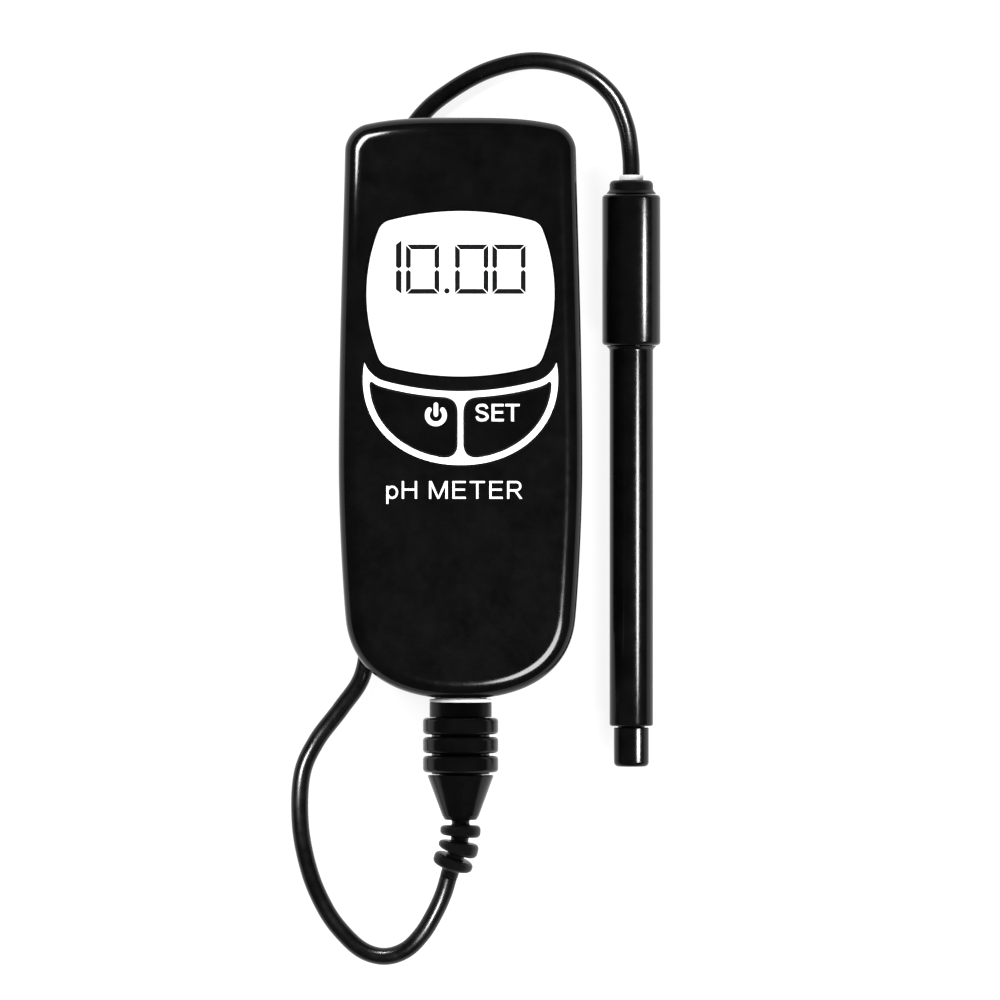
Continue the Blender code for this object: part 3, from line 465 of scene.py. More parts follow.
def block(name, x0, x1, y0, y1, z0, z1):
    """A box."""
    return slab(name, [(x0, y0), (x1, y0), (x1, y1), (x0, y1)], z0, z1)


def circle(sides):
    """Cosine and sine at even steps all the way round."""
    return [(math.cos(math.tau * i / sides), math.sin(math.tau * i / sides)) for i in range(sides)]


def rod(name, x, y, z0, z1, radius, sides=48):
    """An upright cylinder."""
    return slab(name, [(x + radius * c, y + radius * s) for c, s in circle(sides)], z0, z1)


def turned(name, corners, axis, steps=128, closed=True):
    """Turn (radius, y, fillet) corners about a line along Y, as a tube if the profile is closed."""
    x, z = axis
    rings = [[(x + r * s, y, z + r * c) for c, s in circle(steps)] for r, y in filleted(corners)]
    obj = loft(name, rings, capped=not closed, closed=closed)
    weld(obj)
    return obj


def weld(obj):
    """Join points that coincide, and drop the faces that this leaves empty."""
    bm = bmesh.new()
    bm.from_mesh(obj.data)
    bmesh.ops.remove_doubles(bm, verts=bm.verts, dist=1e-7)
    bmesh.ops.dissolve_degenerate(bm, edges=bm.edges, dist=1e-8)
    bmesh.ops.recalc_face_normals(bm, faces=bm.faces)
    bm.to_mesh(obj.data)
    bm.free()


def carve(obj, cutter, operation='DIFFERENCE'):
    """Apply a boolean with another solid, and remove that solid."""
    mod = obj.modifiers.new("carve", 'BOOLEAN')
    mod.operation = operation
    mod.solver = 'EXACT'
    mod.object = cutter
    bpy.context.view_layer.update()
    evaluated = obj.evaluated_get(bpy.context.evaluated_depsgraph_get())
    result = bpy.data.meshes.new_from_object(evaluated)
    obj.modifiers.clear()
    old = obj.data
    name = old.name
    obj.data = result
    bpy.data.meshes.remove(old)
    result.name = name
    bpy.data.objects.remove(cutter, do_unlink=True)


def polish(obj, angle):
    """Smooth shading that keeps flat faces flat, and edges sharper than an angle hard."""
    for face in obj.data.polygons:
        face.use_smooth = True
    obj.data.set_sharp_from_angle(angle=math.radians(angle))
    normals = obj.modifiers.new("normals", 'WEIGHTED_NORMAL')
    normals.keep_sharp = True
    normals.weight = 100


def arc(start, finish, count):
    """Angles in radians from start to finish degrees."""
    return [math.radians(start + (finish - start) * i / count) for i in range(count + 1)]


# ---- materials ----
class Shader:
    """A Principled material with a few node helpers, in object coordinates."""

    def __init__(self, name):
        self.mat = bpy.data.materials.new(name)
        self.mat.use_nodes = True
        self.tree = self.mat.node_tree
        self.main = self.tree.nodes["Principled BSDF"]
        self.place = self.tree.nodes.new("ShaderNodeTexCoord").outputs["Object"]

    def feed(self, socket, value):
        """Link an output to a socket, or set the value or colour that the socket holds."""
        if hasattr(value, "is_linked"):
            self.tree.links.new(value, socket)
        else:
            socket.default_value = (*value, 1.0) if socket.type == 'RGBA' else value

    def add(self, kind, **inputs):
        """A node with values or links for its inputs."""
        node = self.tree.nodes.new(kind)
        for name, value in inputs.items():
            self.feed(node.inputs[name.replace("_", " ")], value)
        return node

    def surface(self, **inputs):
        """Set or link inputs of the surface, and give the finished material."""
        for name, value in inputs.items():
            self.feed(self.main.inputs[name.replace("_", " ")], value)
        return self.mat

    def noise(self, size, detail=4.0, rough=0.6, stretch=None):
        """Noise whose features are about size millimetres across."""
        where = self.place
        if stretch:
            where = self.add("ShaderNodeMapping", Vector=where, Scale=stretch).outputs[0]
        return self.add("ShaderNodeTexNoise", Vector=where, Scale=1.0 / (size * MM), Detail=detail,
                        Roughness=rough).outputs["Fac"]

    def spread(self, value, low, high, start=0.3, end=0.7):
        """Map a value between start and end to a range."""
        return self.add("ShaderNodeMapRange", Value=value, From_Min=start, From_Max=end,
                        To_Min=low, To_Max=high).outputs["Result"]

    def mix(self, factor, a, b):
        """A colour between two."""
        node = self.tree.nodes.new("ShaderNodeMix")
        node.data_type = 'RGBA'
        for place, value in ((0, factor), (6, a), (7, b)):
            self.feed(node.inputs[place], value)
        return node.outputs[2]

    def arithmetic(self, operation, a, b):
        """One arithmetic step on two values."""
        node = self.tree.nodes.new("ShaderNodeMath")
        node.operation = operation
        self.feed(node.inputs[0], a)
        self.feed(node.inputs[1], b)
        return node.outputs[0]

    def bump(self, height, depth):
        """Relief of a depth in millimetres."""
        return self.add("ShaderNodeBump", Height=height, Distance=depth * MM,
                        Strength=1.0).outputs["Normal"]

    def edges(self):
        """1 on convex edges, where handling polishes the surface, else 0."""
        pointiness = self.tree.nodes.new("ShaderNodeNewGeometry").outputs["Pointiness"]
        return self.spread(pointiness, 0.0, 1.0, 0.52, 0.62)


def scaled(colour, factor, lift=0.0):
    """A colour made darker or lighter."""
    return tuple(min(1.0, c * factor + lift) for c in colour)


def moulded(name, colour, roughness, grain=0.22, depth=0.012, wear=0.35, mottle=0.18, ior=1.45):
    """Moulded plastic: spark-eroded grain, cloudy gloss and polished edges."""
    s = Shader(name)
    smear = s.noise(2.2, 5.0, 0.7)
    base = s.mix(s.spread(s.noise(9.0, 3.0), 0.0, 1.0), scaled(colour, 1.0 - mottle),
                 scaled(colour, 1.0 + mottle, 0.001))
    rubbed = s.arithmetic('MULTIPLY', s.edges(), s.spread(smear, 0.0, wear))
    rough = s.spread(smear, 0.75 * roughness, 1.15 * roughness)
    smoothed = s.spread(rubbed, 0.0, 0.12, 0.0, 1.0)
    return s.surface(Base_Color=s.mix(rubbed, base, scaled(colour, 1.6, 0.002)),
                     Roughness=s.arithmetic('SUBTRACT', rough, smoothed),
                     Normal=s.bump(s.noise(grain, 3.0, 0.55), depth), IOR=ior)


def rubber(name, colour, roughness, grain=0.35, depth=0.01, ior=1.5):
    """Rubber or soft vinyl: fine pores and a dusting that dulls it in patches."""
    s = Shader(name)
    patch = s.noise(6.0, 4.0, 0.65)
    dusty = scaled(colour, 1.0, 0.002)
    return s.surface(Base_Color=s.mix(s.spread(patch, 0.0, 0.6), colour, dusty),
                     Roughness=s.spread(patch, roughness - 0.05, roughness + 0.08),
                     Normal=s.bump(s.noise(grain, 4.0, 0.6), depth), IOR=ior)


def metal(name, colour, roughness):
    """Machined or drawn metal: fine lines along Y, and stains."""
    s = Shader(name)
    lines = s.noise(0.5, 6.0, 0.7, stretch=(1.0, 0.04, 1.0))
    stain = s.spread(s.noise(4.0, 3.0), 0.0, 1.0)
    return s.surface(Base_Color=s.mix(stain, scaled(colour, 0.82), colour), Metallic=1.0,
                     Roughness=s.spread(lines, roughness - 0.08, roughness + 0.1),
                     Normal=s.bump(lines, 0.004))


def printed(name, colour, roughness=0.45):
    """Screen-printed ink: slightly uneven cover and a faint mesh texture."""
    s = Shader(name)
    cover = s.noise(0.6, 4.0, 0.7)
    return s.surface(Base_Color=s.mix(s.spread(cover, 0.0, 1.0), scaled(colour, 0.9), colour),
                     Roughness=s.spread(cover, roughness - 0.05, roughness + 0.08),
                     Normal=s.bump(s.noise(0.15, 2.0), 0.003))


def clear(name, alpha, colour=(0.03, 0.032, 0.034)):
    """Clear plastic or glass: mostly see-through, more mirror-like at a slant."""
    s = Shader(name)
    facing = s.add("ShaderNodeLayerWeight", Blend=0.35).outputs["Facing"]
    return s.surface(Base_Color=colour, Alpha=s.spread(facing, alpha, 0.55, 0.15, 1.0),
                     Roughness=s.spread(s.noise(7.0, 5.0, 0.7), 0.04, 0.11), IOR=1.5)


def speckled_board(name):
    """Circuit board: solder mask with copper tracks showing through as ridges."""
    s = Shader(name)
    tracks = s.add("ShaderNodeTexBrick", Vector=s.place, Scale=120.0, Color1=(0.006, 0.07, 0.025),
                   Color2=(0.01, 0.1, 0.035), Mortar=(0.03, 0.2, 0.07))
    return s.surface(Base_Color=tracks.outputs["Color"],
                     Roughness=s.spread(s.noise(3.0), 0.3, 0.5),
                     Normal=s.bump(tracks.outputs["Fac"], 0.03))


def banded_cell(name, edge, upward):
    """Battery wrapper: dark sleeve with a plain copper-coloured band beyond an edge."""
    s = Shader(name)
    along = s.add("ShaderNodeSeparateXYZ", Vector=s.place).outputs["Y"]
    below, beyond = (0.0, 1.0) if upward else (1.0, 0.0)
    band = s.spread(along, below, beyond, (edge - 0.1) * MM, (edge + 0.1) * MM)
    return s.surface(Base_Color=s.mix(band, (0.02, 0.02, 0.022), (0.55, 0.28, 0.12)),
                     Metallic=0.6, Roughness=s.spread(s.noise(3.0), 0.22, 0.38),
                     Normal=s.bump(s.noise(0.8), 0.004))


def painted_glow_ground(name, colour):
    """Display ground: pale and faintly silky, with a painted glow (emission) that lights it from
    within, so it reads white and the shade under the window's rim washes out.
    """
    s = Shader(name)
    silk = s.noise(0.4, 3.0, 0.6)
    cast = s.spread(s.noise(18.0, 2.0), 0.0, 1.0)
    # The emission is a painted glow: the ground gives off light of its own, though it is no lamp.
    return s.surface(Base_Color=s.mix(cast, scaled(colour, 0.97), colour),
                     Roughness=s.spread(silk, 0.3, 0.42), Normal=s.bump(silk, 0.002),
                     Emission_Color=colour, Emission_Strength=0.42)


def paper(name, glow):
    """The pale floor: cloudy, matt, and bright by itself."""
    s = Shader(name)
    cloud = s.spread(s.noise(60.0, 3.0), 0.0, 1.0)
    return s.surface(Base_Color=s.mix(cloud, (0.15, 0.15, 0.15), (0.16, 0.16, 0.16)),
                     Roughness=0.9, Specular_IOR_Level=0.05, Emission_Color=(1.0, 1.0, 1.0),
                     Emission_Strength=glow)


def coat_with(obj, material):
    """Make a material an object's only one."""
    obj.data.materials.clear()
    obj.data.materials.append(material)


def wear(material, *beginnings):
    """Give a material to the plain nodes whose names begin so."""
    for name, node in NODES.items():
        if not name.startswith(beginnings):
            continue
        if not node.material_slots:
            node.data.materials.append(material)
        for slot in node.material_slots:
            slot.link = 'OBJECT'
            slot.material = material


def finish_piece(obj, body, material, nodes=(), angle=None):
    """Shade a piece if an angle is given, give it its material and body, and hide the plain nodes it
    stands for.
    """
    if angle:
        polish(obj, angle)
    coat_with(obj, material)
    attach(obj, body)
    if nodes:
        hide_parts(*nodes)


# ---- camera and cord ----
make_camera()

BLACK = (0.0014, 0.0014, 0.0015)
BLACK_IOR = 1.28  # low, so that black edges mirror little of the pale floor
RUBBER_IOR = 1.32
case_black = moulded("case_black", BLACK, 0.14, 0.3, 0.0009, 0.35, ior=BLACK_IOR)
key_black = moulded("key_black", BLACK, 0.3, 0.2, 0.002, 0.2, ior=BLACK_IOR)
grip_black = moulded("grip_black", BLACK, 0.2, 0.3, 0.0006, 0.3, ior=BLACK_IOR)
shaft_black = moulded("shaft_black", BLACK, 0.18, 0.4, 0.0006, 0.3, ior=BLACK_IOR)
white_plastic = moulded("white_plastic", (0.96, 0.96, 0.955), 0.32, 0.25, 0.004, 0.0, mottle=0.02)
cord_rubber = rubber("cord_rubber", BLACK, 0.25, 0.5, 0.001, RUBBER_IOR)
relief_rubber = rubber("relief_rubber", (0.002, 0.002, 0.0022), 0.36, 0.4, 0.004, RUBBER_IOR)
seal_rubber = rubber("seal_rubber", (0.03, 0.03, 0.032), 0.7)
pale_rubber = rubber("pale_rubber", (0.8, 0.8, 0.79), 0.55)
steel = metal("steel", (0.66, 0.66, 0.67), 0.28)
dark_metal = metal("dark_metal", (0.022, 0.022, 0.024), 0.38)
gold = metal("gold", (0.85, 0.62, 0.25), 0.24)
white_ink = printed("white_ink", (0.9, 0.9, 0.89))

route = smooth_path(CORD_ROUTE, 1.6)
curve = bpy.data.curves.new("probe_cord_line", 'CURVE')
curve.dimensions = '3D'
curve.bevel_depth = CORD_RADIUS * MM
curve.bevel_resolution = 8
curve.use_fill_caps = True
line = curve.splines.new('BEZIER')
line.bezier_points.add(len(CORD_ROUTE) - 1)
guides = extended([Vector(p) * MM for p in CORD_ROUTE])
for i, knot in enumerate(line.bezier_points):
    slope = (guides[i + 2] - guides[i]) / 6.0
    knot.co = guides[i + 1]
    knot.handle_left_type = knot.handle_right_type = 'FREE'
    knot.handle_left = guides[i + 1] - slope
    knot.handle_right = guides[i + 1] + slope
curve.resolution_u = 10
cord_piece = put("cord", curve)
curve.materials.append(cord_rubber)
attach(cord_piece, "electrode")
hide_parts("probe_cord")

# ---- strain relief ----
DISCS = ((6.55, 9.45), (11.0, 13.9), (15.3, 18.1))
DISC_RADIUS = 5.35
CORE_RADIUS = 2.35
relief_line = smooth_path(RELIEF_ROUTE, 0.1)
relief_length = path_length(relief_line)
profile = [(2.9, 0.0, 0.0), (2.9, 5.0, 0.3), (CORE_RADIUS, 5.3, 0.3)]
for start, finish in DISCS:
    profile += [(CORE_RADIUS, start, 0.55), (DISC_RADIUS, start, 1.1), (DISC_RADIUS, finish, 1.1),
                (CORE_RADIUS, finish, 0.55)]
profile[-1] = (CORE_RADIUS, DISCS[-1][1], 1.3)
profile.append((CORE_RADIUS, relief_length, 0.0))
profile = filleted(profile, 7)


def along_relief(distance):
    """The point at a distance along the strain relief's line."""
    place = min(max(distance, 0.0), relief_length) / relief_length * (len(relief_line) - 1)
    k = min(int(place), len(relief_line) - 2)
    return relief_line[k].lerp(relief_line[k + 1], place - k)


def bent(name, shape):
    """A turned shape of (radius, distance) bent along the strain relief's line."""
    rings = []
    side = Vector((1.0, 0.0, 0.0))
    for radius, distance in shape:
        ahead = along_relief(distance + 0.3) - along_relief(distance - 0.3)
        ahead.normalize()
        side = (side - ahead * side.dot(ahead)).normalized()
        up = ahead.cross(side)
        point = along_relief(distance)
        rings.append([point + side * (radius * c) + up * (radius * s) for c, s in circle(64)])
    obj = loft(name, rings)
    weld(obj)
    return obj


relief = bent("strain_relief_skin", profile)
finish_piece(relief, "electrode", relief_rubber, ["strain_relief"], angle=60.0)

# ---- plug ----
ribs = [(6.9, RIBS_Y[0][0], 0.2)]
for y0, y1 in RIBS_Y:
    ribs += [(RIB_FLOOR, y0, 0.0 if y0 == RIBS_Y[0][0] else 0.25), (RIB_RADIUS, y0, 1.0),
             (RIB_RADIUS, y1, 1.0), (RIB_FLOOR, y1, 0.25)]
ribs += [(RIB_FLOOR, NUT_END, 0.1), (5.9, NUT_END, 0.1), (5.9, -91.8, 0.0), (6.9, -91.8, 0.0)]
nut = turned("coupling_nut_skin", ribs, PLUG_AXIS)
finish_piece(nut, "coupling_nut", grip_black, ["coupling_nut"], angle=60.0)

backshell = turned("backshell_skin", [
    (5.9, -97.2, 0.0), (8.85, -97.2, 0.3), (4.85, -108.0, 1.6), (4.2, -109.1, 0.4),
    (3.2, -109.1, 0.2), (3.2, -100.3, 0.0), (5.9, -100.3, 0.0)], PLUG_AXIS)
finish_piece(backshell, "electrode", grip_black, ["plug_backshell"], angle=60.0)

THREAD_START = -82.2
THREAD_PITCH = 0.9
thread = []
for k in range(7):
    y = THREAD_START - THREAD_PITCH * k
    thread += [(6.6, y, 0.0), (6.6, y - 0.25, 0.0), (6.35, y - 0.45, 0.0), (6.35, y - 0.65, 0.0)]
flange = turned("socket_shell_skin", [
    (5.7, -68.0, 0.0), (6.9, -68.0, 0.2), (6.9, -77.9, 0.0), (8.24, -77.9, 0.25),
    (8.24, -81.82, 0.2), (6.6, -81.84, 0.1)] + thread
    + [(6.4, -88.8, 0.0), (5.7, -88.8, 0.1)], PLUG_AXIS)
finish_piece(flange, "meter", dark_metal, ["socket_shell"], angle=40.0)

seal = turned("socket_seal_skin", [(7.3, -77.02, 0.0), (8.24, -77.02, 0.15),
                                   (8.24, -77.86, 0.15), (7.3, -77.86, 0.0)], PLUG_AXIS, 96)
finish_piece(seal, "meter", pale_rubber, nodes=["socket_gasket"], angle=60.0)


# ---- front of the case ----
def shell_rings(outer_face, outer_round, inner_face, inner_round, rim, down):
    """Rings of a shell half from the inside of its face, over the rim, to its outer face."""
    sign = -1.0 if down else 1.0
    outline = case_outline()
    rings = rounded_edge(outline, inner_round, inner_face, sign, 8, WALL)[::-1]
    for inset, height in ((WALL, 0.0), (RIM_EASE, 0.0), (0.08, 0.08), (0.0, RIM_EASE)):
        rings.append(level(case_outline(inset), rim + sign * height))
    return rings + rounded_edge(outline, outer_round, outer_face, sign, 14)


front = loft("front_case_skin", shell_rings(CASE_TOP, FRONT_ROUND, FRONT_INSIDE,
                                            FRONT_HOLLOW_ROUND, PARTING + GAP / 2, False))
BOSS_RADIUS = 3.0
POST_RADIUS = 2.4
BOSS_BORE = 1.55
POST_BORE = 1.3
for posts, bottom, radius in ((CASE_BOSSES, PARTING + GAP / 2, BOSS_RADIUS),
                              (BOARD_POSTS, BOARD_TOP + GAP, POST_RADIUS)):
    for x, y in posts:
        carve(front, rod("post", x, y, bottom, CASE_TOP - 1.0, radius), 'UNION')
for posts, bottom, top, radius in ((CASE_BOSSES, PARTING - 1.0, 25.5, BOSS_BORE),
                                   (BOARD_POSTS, BOARD_TOP, 25.8, POST_BORE)):
    for x, y in posts:
        carve(front, rod("bore", x, y, bottom, top, radius, 24))
carve(front, flared("cut", window_outline(GAP), SEAT, CASE_TOP, 0.15))
carve(front, slab("cut", window_outline(-WINDOW_LEDGE), FRONT_INSIDE - 1.0, SEAT + 0.5))
BEZEL = bezel_outline()
carve(front, flared("cut", offset(BEZEL, GAP), SEAT, CASE_TOP, 0.12))
KEYS = {"power_button": key_outline(-1), "set_button": key_outline(1)}
for loop in KEYS.values():
    carve(front, slab("cut", offset(loop, GAP), FRONT_INSIDE - 1.0, SEAT + 0.5))


def socket_cutter():
    """The hole for the socket, half in each shell."""
    return turned("cut", [(0.0, -66.0, 0.0), (SOCKET_HOLE, -66.0, 0.0), (SOCKET_HOLE, -82.0, 0.0),
                          (0.0, -82.0, 0.0)], PLUG_AXIS, 96, closed=False)


carve(front, socket_cutter())
finish_piece(front, "meter", case_black, ["front_case"], angle=EDGE_ANGLE)

# ---- back of the case ----
SLEEVE_RADIUS = 3.3
SLEEVE_BORE = 1.6
SINK_RADIUS = 2.95  # the sunk holes that the screw heads sit in
SINK_TOP = 9.4
GROOVE = (0.6, 1.8, 1.35)  # the gasket's groove: insets of its sides, depth
rear = loft("rear_case_skin", shell_rings(CASE_UNDER, REAR_ROUND, REAR_INSIDE,
                                          REAR_HOLLOW_ROUND, PARTING - GAP / 2, True))
hump = rounded_rectangle(-HUMP_HALF, HUMP_HALF, *HUMP_Y, HUMP_ROUND)
hump_rings = [level(hump, REAR_INSIDE - 0.4)] + rounded_edge(hump, HUMP_EDGE, 0.0, -1.0, 6)
carve(rear, loft("hump", hump_rings), 'UNION')
carve(rear, slab("cut", rounded_rectangle(*HUMP_POCKET, 2.0), REAR_WALL, REAR_INSIDE + 1.0))
carve(rear, block("bay_block", -BAY_HALF - BAY_WALL, BAY_HALF + BAY_WALL, BAY_Y[0] - BAY_WALL,
                  BAY_Y[1] + BAY_WALL, REAR_INSIDE - 1.0, BAY_CEILING + BAY_WALL), 'UNION')
for x, y in CASE_BOSSES:
    carve(rear, rod("boss", x, y, REAR_INSIDE - 1.0, PARTING - GAP / 2, SLEEVE_RADIUS), 'UNION')
carve(rear, block("cut", -BAY_HALF, BAY_HALF, *BAY_Y, DOOR_Z[2] - 0.5, BAY_CEILING))
DOOR_LIP = DOOR_Z[1] - GAP
carve(rear, block("cut", -DOOR_HALF - GAP, DOOR_HALF + GAP, HUMP_Y[0] - 2.0, DOOR_Y[1] + GAP,
                  -1.0, DOOR_LIP + 0.5))
carve(rear, block("cut", -TONGUE_HALF - GAP, TONGUE_HALF + GAP, HUMP_Y[0] - 2.0, DOOR_Y[1] + GAP,
                  DOOR_LIP, DOOR_Z[2] + GAP))
for x, y in CASE_BOSSES:
    carve(rear, rod("cut", x, y, SINK_TOP - 1.4, PARTING + 1.0, SLEEVE_BORE, 24))
    carve(rear, rod("cut", x, y, CASE_UNDER - 1.0, SINK_TOP, SINK_RADIUS))
carve(rear, socket_cutter())
outer, inner, deep = GROOVE
carve(rear, loft("cut", [level(case_outline(inset), PARTING + height) for inset, height in
                         ((outer, 1.0), (outer, -deep), (inner, -deep), (inner, 1.0))], closed=True))
finish_piece(rear, "meter", case_black, ["rear_case"], angle=EDGE_ANGLE)

# ---- keypad ----
bezel = loft("bezel_skin", [level(BEZEL, SEAT + GAP), level(BEZEL, CASE_TOP + 0.04),
                            level(offset(BEZEL, -0.05), CASE_TOP + 0.1)])
for loop in KEYS.values():
    carve(bezel, flared("cut", offset(loop, GAP), SEAT - 1.0, CASE_TOP + 0.1, 0.1))
finish_piece(bezel, "meter", white_plastic, ["keypad_bezel"], angle=EDGE_ANGLE)

KEY_CROWN = 0.3
KEY_EDGE = 0.5
KEY_STEPS = 12  # rings from the key's edge to its middle
KEY_MIDDLE = (0.86 * KEY_POST[0], KEY_POST[1] + 0.6)  # where the crown is highest
POST_FOOT = 22.8  # just above the key's switch
key_pieces = {}
for key_name, loop in KEYS.items():
    side = 1 if key_name == "set_button" else -1
    body = "set_key" if side > 0 else "power_key"
    shoulder = KEY_TOP - KEY_CROWN
    rings = [level(loop, FRONT_INSIDE - GAP - 0.4)]
    rings += rounded_edge(loop, KEY_EDGE, shoulder, 1.0, 6)
    middle = Vector((side * KEY_MIDDLE[0], KEY_MIDDLE[1]))
    inner = offset(loop, -KEY_EDGE)
    for k in range(1, KEY_STEPS):
        t = k / KEY_STEPS
        ring = [tuple(Vector(p).lerp(middle, t)) for p in inner]
        rings.append(level(ring, shoulder + KEY_CROWN * math.sin(math.pi / 2 * t) ** 1.2))
    key = loft(key_name + "_skin", rings)
    flange_top = FRONT_INSIDE - GAP
    carve(key, slab("flange", offset(loop, KEY_FLANGE), flange_top - 1.2, flange_top), 'UNION')
    carve(key, rod("post", side * KEY_POST[0], KEY_POST[1], POST_FOOT, flange_top - 0.8, 2.2, 32),
          'UNION')
    finish_piece(key, body, key_black, [key_name], angle=EDGE_ANGLE)
    key_pieces[key_name] = key

# ---- printing ----
PRINT_THICK = 0.03
PRINT_STEP = 0.003  # how much higher each stroke stands than the one before
PRINT_SUNK = 0.02  # how far the underside goes into the surface


class Print:
    """Flat strokes of ink, drawn in millimetres and then laid on a surface."""

    def __init__(self, name):
        self.name = name
        self.strips = []

    def stroke(self, points, width, round_ends=False):
        """A band of even width along a line, with square or round ends."""
        half = width / 2.0
        path = evened([Vector(p) for p in points], 0.3)
        last = len(path) - 1
        across = []
        for i in range(last + 1):
            along = (path[min(last, i + 1)] - path[max(0, i - 1)]).normalized()
            across.append(Vector((-along.y, along.x)) * half)
        pairs = [(p + side, p - side) for p, side in zip(path, across)]
        if round_ends:
            for end, sign in ((0, -1.0), (last, 1.0)):
                outward = Vector((across[end].y, -across[end].x)) * sign
                tips = []
                for angle in arc(15.0, 82.0, 5):
                    middle = path[end] + outward * math.sin(angle)
                    reach = across[end] * math.cos(angle)
                    tips.append((middle + reach, middle - reach))
                pairs = pairs + tips if sign > 0 else tips[::-1] + pairs
        self.strips.append(pairs)

    def patch(self, left, right):
        """A band between two straight edges, each given by its two ends."""
        (a, b), (c, d) = left, right
        a, b, c, d = Vector(a), Vector(b), Vector(c), Vector(d)
        self.strips.append([(a.lerp(b, t / 12), c.lerp(d, t / 12)) for t in range(13)])

    def finish(self, height, surface=None):
        """Make the piece, its underside on a level or on the surface below it.

        Each stroke stands a hair higher than the one before, so that crossings don't flicker."""
        verts = []
        faces = []
        for number, pairs in enumerate(self.strips):
            first = len(verts)
            thick = (PRINT_THICK + PRINT_STEP * number) * MM
            for pair in pairs:
                for p in pair:
                    x, y, base = p.x * MM, p.y * MM, height * MM
                    if surface:
                        hit, point, _, _ = surface.ray_cast(Vector((x, y, 0.05)),
                                                            Vector((0, 0, -1)))
                        base = point.z if hit else base
                    verts.append((x, y, base + thick))
                    verts.append((x, y, base - PRINT_SUNK * MM))
            last = first + 4 * (len(pairs) - 1)
            for k in range(first, last, 4):
                a, a_low, b, b_low, c, c_low, d, d_low = range(k, k + 8)
                faces += [(a, b, d, c), (a_low, c_low, d_low, b_low), (a, c, c_low, a_low),
                          (b, b_low, d_low, d)]
            faces += [(first, first + 1, first + 3, first + 2),
                      (last, last + 2, last + 3, last + 1)]
        return solid(self.name, verts, faces)


class Lettering:
    """Plain sans-serif letters built from strokes, from a left end and a baseline on."""

    S_LINE = ((0.97, 0.77), (0.82, 0.955), (0.5, 1.0), (0.18, 0.95), (0.03, 0.75), (0.2, 0.575),
              (0.5, 0.505), (0.82, 0.425), (1.0, 0.24), (0.84, 0.05), (0.5, 0.0), (0.16, 0.05),
              (0.0, 0.25))

    def __init__(self, ink, left, baseline, cap, stem, bar):
        self.ink = ink
        self.x = left  # moves on with each letter
        self.y = baseline
        self.cap = cap
        self.stem = stem
        self.bar = bar

    def upright(self, x, low=0.0, high=1.0):
        """An upright stem, its ends given as parts of the letters' height."""
        middle = self.x + x + self.stem / 2.0
        self.ink.stroke([(middle, self.y + low * self.cap), (middle, self.y + high * self.cap)],
                        self.stem)

    def level(self, x0, x1, centre):
        """A level bar."""
        y = self.y + centre
        self.ink.stroke([(self.x + x0, y), (self.x + x1, y)], self.bar)

    def letter(self, kind, width, gap):
        """Draw one letter and move on past the gap after it."""
        s, b, cap = self.stem, self.bar, self.cap
        top = cap - b / 2.0
        if kind == "S":
            pts = [Vector((self.x + b / 2 + u * (width - b), self.y + b / 2 + v * (cap - b), 0.0))
                   for u, v in self.S_LINE]
            self.ink.stroke([p.xy for p in smooth_path(pts, 0.15)], (s + b) / 2.0)
        if kind in "EHMRp":
            self.upright(0.0, -0.29 if kind == "p" else 0.0, 0.725 if kind == "p" else 1.0)
        if kind == "E":
            self.level(0.0, width, top)
            self.level(0.0, width * 0.94, cap * 0.515)
            self.level(0.0, width, b / 2.0)
        if kind == "T":
            self.level(0.0, width, top)
            self.upright(width / 2.0 - s / 2.0)
        if kind == "H":
            self.level(0.0, width, cap * 0.52)
            self.upright(width - s)
        if kind == "M":
            self.upright(width - s)
            for sign in (-1.0, 1.0):
                inner = self.x + width / 2.0
                edge = inner + sign * (width / 2.0)
                top_edge = self.y + cap
                self.ink.patch(
                    ((edge, top_edge), (inner + sign * s * 0.42, self.y)),
                    ((edge - sign * s * 1.25, top_edge), (inner - sign * s * 0.42, self.y)))
        if kind == "R":
            self.bowl(width * 0.94, cap * 0.47, top, True)
            start = self.x + width * 0.42
            half_way = self.y + cap * 0.5
            self.ink.patch(((start, half_way), (self.x + width - s * 1.25, self.y)),
                           ((start + s * 1.1, half_way), (self.x + width, self.y)))
        if kind == "p":
            self.bowl(width, b / 2.0 - 0.01 * cap, cap * 0.735 - b / 2.0, False)
        self.x += width + gap

    def bowl(self, width, low, high, squared):
        """The round part of an R or a p, from the stem out and back."""
        radius = (high - low) / 2.0
        middle = self.y + (high + low) / 2.0
        out = self.x + width - self.stem / 2.0
        reach = 90.0 if squared else 152.0
        start = out - radius if squared else self.x + width * 0.5
        span = out - start
        points = [(start + span * math.cos(angle), middle + radius * math.sin(angle))
                  for angle in arc(reach, -reach, 36)]
        if squared:
            inside = self.x + self.stem / 2.0
            points = [(inside, middle + radius)] + points + [(inside, middle - radius)]
        self.ink.stroke(points, (self.stem + self.bar) / 2.0)


POWER_CENTRE = (-6.5, -1.85)
POWER_RADIUS = 2.28
POWER_BAR = (0.95, -1.65)  # where its upright bar starts and ends
ring = Print("power_mark")
x, y = POWER_CENTRE
ring.stroke([(x + POWER_RADIUS * math.cos(a), y + POWER_RADIUS * math.sin(a))
             for a in arc(141.0, 399.0, 60)], 1.25, True)
ring.stroke([(x, end) for end in POWER_BAR], 1.15, True)
finish_piece(ring.finish(KEY_TOP, key_pieces["power_button"]), "power_key", white_ink)


def lettered(name, body, pen, letters, height, surface=None):
    """Print a line of letters, each given by its kind, width and the gap after it."""
    ink = Print(name)
    word = Lettering(ink, *pen)
    for kind, width, gap in letters:
        word.letter(kind, width, gap)
    finish_piece(ink.finish(height, surface), body, white_ink)


